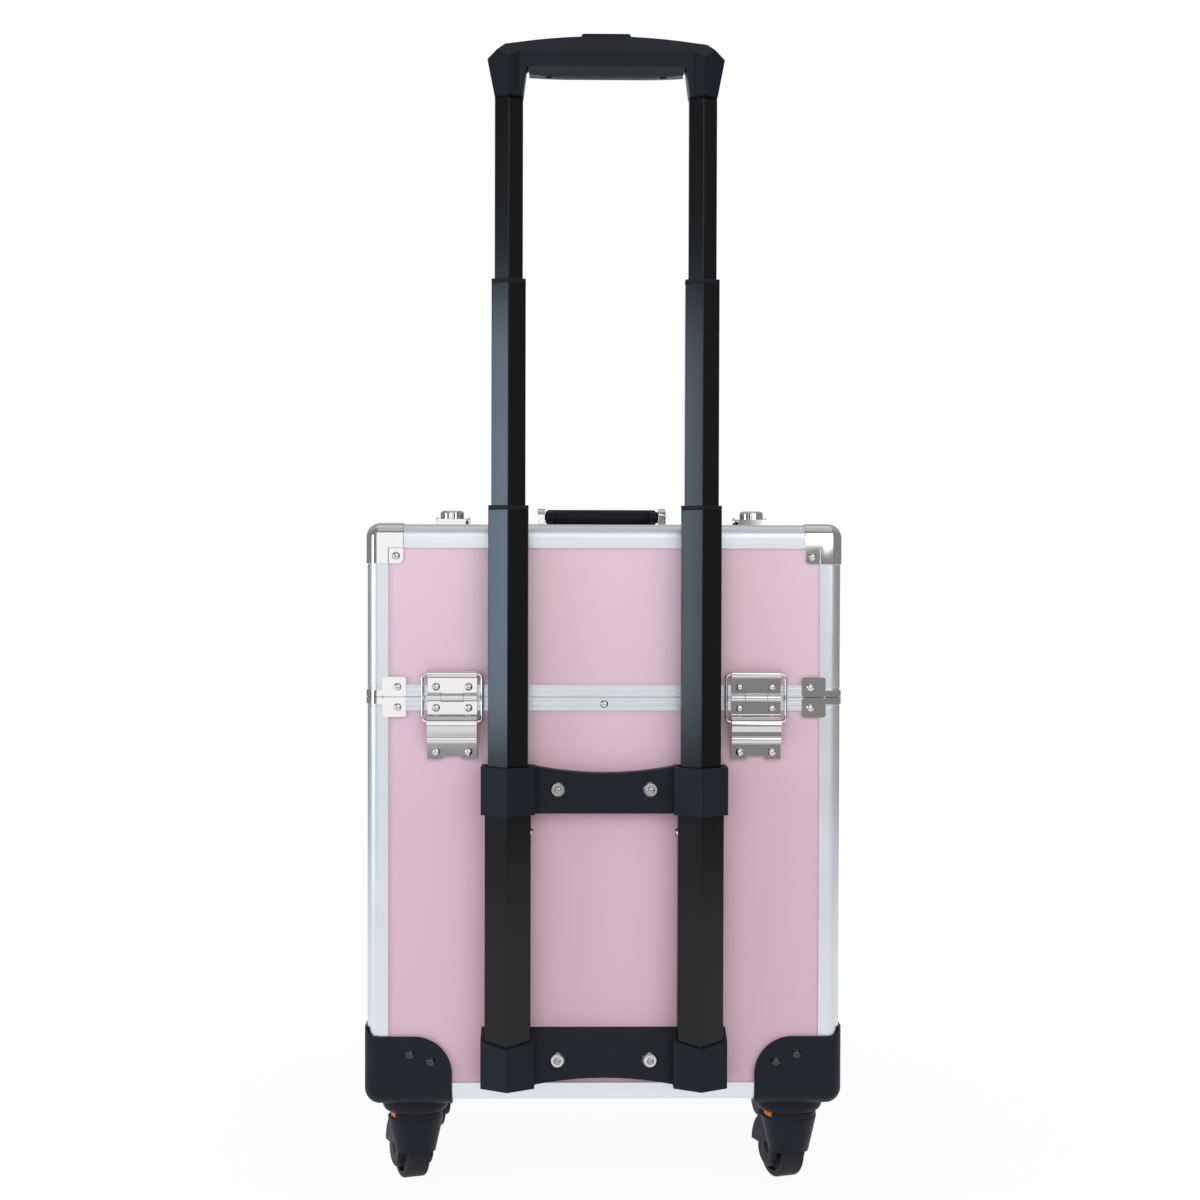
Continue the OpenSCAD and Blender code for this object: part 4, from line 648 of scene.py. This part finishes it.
class MAKEUP_OT_pull_handle(bpy.types.Operator):
    """Coat the tubes, and mould the guides, grip and crosspieces"""

    bl_idname = "makeup.pull_handle"
    bl_label = "Pull handle"

    def execute(self, context):
        for node in ("fixed_tubes", "stage1_tubes", "stage2_tubes", "stage3_tubes"):
            dress(node, "black_tube", 0.5)
        for node in ("fixed_guides", "stage1_guides", "stage2_guides", "stage3_feet"):
            dress(node, "black_plastic")
        for node in ("upper_crosspiece", "lower_crosspiece"):
            dress(node, "black_plastic", 0.9, 3)
        dress("grip_shell", "grip_plastic", 2.5, 4)
        dress("grip_underside", "grey_plastic", 0.8)
        dress("push_button", "grip_plastic", 0.5)
        dress("release_rods", "bare_steel")
        dress("crosspiece_bolts", "steel_fastener")
        return {"FINISHED"}


class MAKEUP_OT_bolt_caps(bpy.types.Operator):
    """Set a polished dome in the head of each crosspiece bolt"""

    bl_idname = "makeup.bolt_caps"
    bl_label = "Bolt caps"

    def execute(self, context):
        radius = context.scene.case_trim.bolt_cap
        low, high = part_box("crosspiece_bolts")
        shape = bmesh.new()
        for x in (low.x + BOLT_INSET, high.x - BOLT_INSET):
            for z in (low.z + BOLT_INSET, high.z - BOLT_INSET):
                add_dome(shape, (x, low.y + BOLT_SOCKET, z), (0, -1, 0), radius,
                         BOLT_SOCKET + BOLT_CAP_PROUD)
        new_piece("crosspiece_bolt_caps", shape, "dark_chrome", "case_base")
        return {"FINISHED"}


class MAKEUP_OT_guide_screws(bpy.types.Operator):
    """Add the bright guide screws in the inner sides of the tubes"""

    bl_idname = "makeup.guide_screws"
    bl_label = "Guide screws"

    def execute(self, context):
        radius = context.scene.case_trim.guide_screw
        stages = (("fixed", "case_base", 1.7), ("stage1", "stage1", 0.16),
                  ("stage2", "stage2", 0.16))
        for index, (stage, body, proud_mm) in enumerate(stages):
            low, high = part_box(f"{stage}_tubes")
            half = TUBE_HALF - index * TUBE_STEP
            middle = (low.y + 0.5 * half * math.tan(TUBE_SLOPE) + high.y) / 2
            shape = bmesh.new()
            for side in (-1, 1):
                seat = (side * (TUBE_OFFSET - half), middle, high.z - SCREW_DROP)
                add_dome(shape, seat, (-side, 0, 0), radius, proud_mm * MM)
            new_piece(f"{stage}_guide_screws", shape, "steel_fastener", body)
        return {"FINISHED"}


class MAKEUP_OT_casters(bpy.types.Operator):
    """Mould the caster housings, forks and wheels, and cap the axles"""

    bl_idname = "makeup.casters"
    bl_label = "Casters"

    def execute(self, context):
        dress("caster_housings", "black_plastic", 0.8, 3)
        dress("housing_screws", "black_screw")
        dress("swivel_rings", "orange_ring", 0.3)
        for end in ("rear", "front"):
            for side in ("left", "right"):
                dress(f"{end}_{side}_fork", "black_plastic", 0.8, 3)
                dress(f"{end}_{side}_wheel", "wheel_rubber", 0.3)
                self.cap_axle(context, f"{end}_{side}")
        return {"FINISHED"}

    def cap_axle(self, context, corner):
        """Domed caps over both ends of one axle."""
        joint = next(j for j in frame["joints"] if j["name"] == f"{corner}_roll")
        centre, axis = Vector(joint["pos_m"]), Vector(joint["axis"])
        radius = context.scene.case_trim.axle_cap
        shape = bmesh.new()
        for way in (-1, 1):
            add_dome(shape, centre + axis * way * AXLE_HALF, axis * way, radius, AXLE_CAP_HEIGHT)
        new_piece(f"{corner}_axle_caps", shape, "black_plastic", f"{corner}_fork")


class MAKEUP_OT_top_fittings(bpy.types.Operator):
    """Plate the latches and mounts, mould the carry grip and add the lock discs"""

    bl_idname = "makeup.top_fittings"
    bl_label = "Top fittings"

    def execute(self, context):
        for node in ("latch_plates", "latch_catches", "handle_mounts", "left_hasp", "right_hasp"):
            dress(node, "chrome_trim", 0.3)
        dress("carry_grip", "grip_plastic", 0.6)
        for side in ("left", "right"):
            self.lock_disc(side)
        return {"FINISHED"}

    def lock_disc(self, side):
        """Key disc with a slot, sunk in the dome of one latch."""
        low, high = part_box(f"{side}_hasp")
        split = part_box("front_lid_panels")[0].y - LOCK_BEHIND_LID
        centre = Vector(((low.x + high.x) / 2, split, high.z - LOCK_SUNK))
        middle = Matrix.Translation(centre + Vector((0, 0, LOCK_HEIGHT / 2)))
        shape = bmesh.new()
        bmesh.ops.create_cone(
            shape, cap_ends=True, segments=32, radius1=LOCK_RADII[0], radius2=LOCK_RADII[1],
            depth=LOCK_HEIGHT, matrix=middle)
        top = max(shape.faces, key=lambda f: f.calc_center_median().z)
        bmesh.ops.inset_region(shape, faces=[top], thickness=LOCK_RING, depth=0.0)
        bmesh.ops.translate(shape, verts=top.verts, vec=(0, 0, -KEYHOLE_DEPTH))
        bmesh.ops.scale(
            shape, verts=top.verts, vec=KEYHOLE_SHAPE, space=Matrix.Translation(-centre))
        new_piece(f"{side}_lock_disc", shape, "steel_fastener", f"{side}_hasp")


class MAKEUP_OT_inside(bpy.types.Operator):
    """Mould the trays, finish their links and lay mats in the trays"""

    bl_idname = "makeup.inside"
    bl_label = "Inside"

    def execute(self, context):
        for end in ("front", "rear"):
            for level in ("lower", "upper"):
                tray = f"{end}_{level}_tray"
                dress(tray, "tray_plastic", 0.6)
                self.lay_mat(context, tray)
            dress(f"{end}_tray_links", "bare_steel", 0.2)
        return {"FINISHED"}

    def lay_mat(self, context, tray):
        """Foam mat on the floor of one tray."""
        low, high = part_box(tray)
        inset = TRAY_WALL + MAT_GAP
        base = low.z + TRAY_WALL
        shape = bmesh.new()
        add_block(shape, (low.x + inset, low.y + inset, base),
                  (high.x - inset, high.y - inset, base + context.scene.case_trim.mat), MAT_ROUND)
        new_piece(f"{tray}_mat", shape, "lining_cloth", tray)


def look_matrix(place_m, yaw, pitch, roll):
    """Camera matrix at a place, turned from straight ahead along +Y."""
    ahead = Vector((
        math.sin(yaw) * math.cos(pitch), math.cos(yaw) * math.cos(pitch), -math.sin(pitch)))
    right = Vector((math.cos(yaw), -math.sin(yaw), 0.0))
    up = right.cross(ahead)
    rolled_right = math.cos(roll) * right + math.sin(roll) * up
    rolled_up = math.cos(roll) * up - math.sin(roll) * right
    turned = Matrix((rolled_right, rolled_up, -ahead)).transposed().to_4x4()
    return Matrix.Translation(place_m) @ turned


class MAKEUP_OT_studio(bpy.types.Operator):
    """Set the camera, the pale floor and the soft panels"""

    bl_idname = "makeup.studio"
    bl_label = "Studio"

    def execute(self, context):
        studio = context.scene.case_studio
        context.scene.view_settings.view_transform = "Standard"
        self.camera(context, studio)
        self.world(context, studio)
        self.floor(context, studio)
        for name in PANELS:
            self.panel(context, studio, name)
        return {"FINISHED"}

    def camera(self, context, studio):
        """Camera at the fitted place."""
        data = bpy.data.cameras.new("photo_camera")
        data.sensor_fit = "HORIZONTAL"
        data.sensor_width = SENSOR_MM
        data.lens = studio.focal_px / IMAGE_PX * SENSOR_MM
        data.clip_end = 50.0
        camera = bpy.data.objects.new("photo_camera", data)
        context.scene.collection.objects.link(camera)
        camera.matrix_world = look_matrix(studio.camera_place, *studio.camera_turn)
        context.scene.camera = camera

    def world(self, context, studio):
        """White to the camera; what shines sees a grey room, paler overhead and white behind."""
        world = bpy.data.worlds.new("studio_world")
        context.scene.world = world
        world.use_nodes = True
        tree = world.node_tree
        light = add(tree, "ShaderNodeLightPath").outputs
        way = add(tree, "ShaderNodeTexCoord").outputs["Generated"]
        parts = add(tree, "ShaderNodeSeparateXYZ", {0: way}).outputs
        overhead = map_range(tree, parts["Z"], -0.1, 0.75, 0.16, 0.5)
        past_front = map_range(tree, parts["Y"], -0.3, 0.1, 0.15, 1.0)
        behind = map_range(tree, parts["Y"], 0.8, 0.98, 0.3, 1.0)
        sides = math_node(tree, "MULTIPLY", overhead, past_front)
        room = math_node(tree, "MAXIMUM", sides, behind)
        shine = math_node(tree, "MAXIMUM", light["Is Glossy Ray"], light["Is Transmission Ray"])
        off = math_node(tree, "SUBTRACT", room, studio.ambient)
        strength = math_node(
            tree, "ADD", math_node(tree, "MULTIPLY", shine, off), studio.ambient)
        seen = math_node(tree, "MAXIMUM", strength, light["Is Camera Ray"])
        background = tree.nodes["Background"]
        tree.links.new(seen, background.inputs["Strength"])
        background.inputs["Color"].default_value = rgba(WHITE)

    def floor(self, context, studio):
        """Round pale floor that keeps the shadow and fades to white."""
        mesh = bpy.data.meshes.new("studio_floor")
        shape = bmesh.new()
        bmesh.ops.create_circle(
            shape, cap_ends=True, segments=96, radius=studio.floor_radius,
            matrix=Matrix.Translation((0, 0, -FLOOR_DROP)))
        shape.to_mesh(mesh)
        shape.free()
        floor = bpy.data.objects.new("studio_floor", mesh)
        context.scene.collection.objects.link(floor)
        mesh.materials.append(self.floor_material())

    def floor_material(self):
        """Grey to the light, and nearly white to what looks at it."""
        material = bpy.data.materials.new("studio_floor")
        material.use_nodes = True
        tree = material.node_tree
        tree.nodes.remove(tree.nodes["Principled BSDF"])
        vector = add(tree, "ShaderNodeTexCoord").outputs["Object"]
        away = vector_node(tree, "LENGTH", {0: vector}, "Value")
        fade = map_range(tree, away, 0.3, 1.2, 0.93, 1.0)
        light = add(tree, "ShaderNodeLightPath").outputs
        shine = math_node(tree, "MAXIMUM", light["Is Glossy Ray"], light["Is Transmission Ray"])
        seen = math_node(tree, "MAXIMUM", light["Is Camera Ray"], shine)
        mixed = add(tree, "ShaderNodeMixShader", {
            0: math_node(tree, "MULTIPLY", fade, seen),
            1: add(tree, "ShaderNodeBsdfDiffuse", {"Color": FLOOR_GREY}).outputs[0],
            2: add(tree, "ShaderNodeEmission", {"Strength": 1.0}).outputs[0]})
        tree.links.new(mixed.outputs[0], tree.nodes["Material Output"].inputs["Surface"])
        return material

    def panel(self, context, studio, name):
        """Soft panel that faces a point and that the camera doesn't see."""
        place_m, target, size, setting, share, tint = PANELS[name]
        data = bpy.data.lights.new(name, "AREA")
        data.shape = "RECTANGLE"
        data.size, data.size_y = size
        data.energy = share * getattr(studio, setting)
        data.color = tint
        lamp = bpy.data.objects.new(name, data)
        context.scene.collection.objects.link(lamp)
        lamp.location = place_m
        facing = Vector(target) - Vector(place_m)
        lamp.rotation_euler = facing.to_track_quat("-Z", "Y").to_euler()
        lamp.visible_camera = False


STEPS = (
    MAKEUP_OT_panels, MAKEUP_OT_profiles, MAKEUP_OT_corner_trim, MAKEUP_OT_hinges,
    MAKEUP_OT_pull_handle, MAKEUP_OT_bolt_caps, MAKEUP_OT_guide_screws, MAKEUP_OT_casters,
    MAKEUP_OT_top_fittings, MAKEUP_OT_inside, MAKEUP_OT_studio,
)


class MAKEUP_PT_sidebar(bpy.types.Panel):
    """Settings, and a button for each step"""

    bl_label = "Makeup case"
    bl_idname = "MAKEUP_PT_sidebar"
    bl_space_type = "VIEW_3D"
    bl_region_type = "UI"
    bl_category = "Makeup case"

    def draw(self, context):
        scene = context.scene
        for group in (scene.case_finish, scene.case_trim, scene.case_studio):
            box = self.layout.box()
            for name in group.__annotations__:
                box.prop(group, name)
        for step in STEPS:
            self.layout.operator(step.bl_idname)


CLASSES = (CaseFinish, CaseTrim, CaseStudio, *STEPS, MAKEUP_PT_sidebar)


def register():
    for cls in CLASSES:
        bpy.utils.register_class(cls)
    bpy.types.Scene.case_finish = PointerProperty(type=CaseFinish)
    bpy.types.Scene.case_trim = PointerProperty(type=CaseTrim)
    bpy.types.Scene.case_studio = PointerProperty(type=CaseStudio)


def unregister():
    del bpy.types.Scene.case_studio
    del bpy.types.Scene.case_trim
    del bpy.types.Scene.case_finish
    for cls in reversed(CLASSES):
        bpy.utils.unregister_class(cls)


def main():
    register()
    for step in STEPS:
        group, name = step.bl_idname.split(".")
        getattr(getattr(bpy.ops, group), name)()


if __name__ == "__main__":
    main()
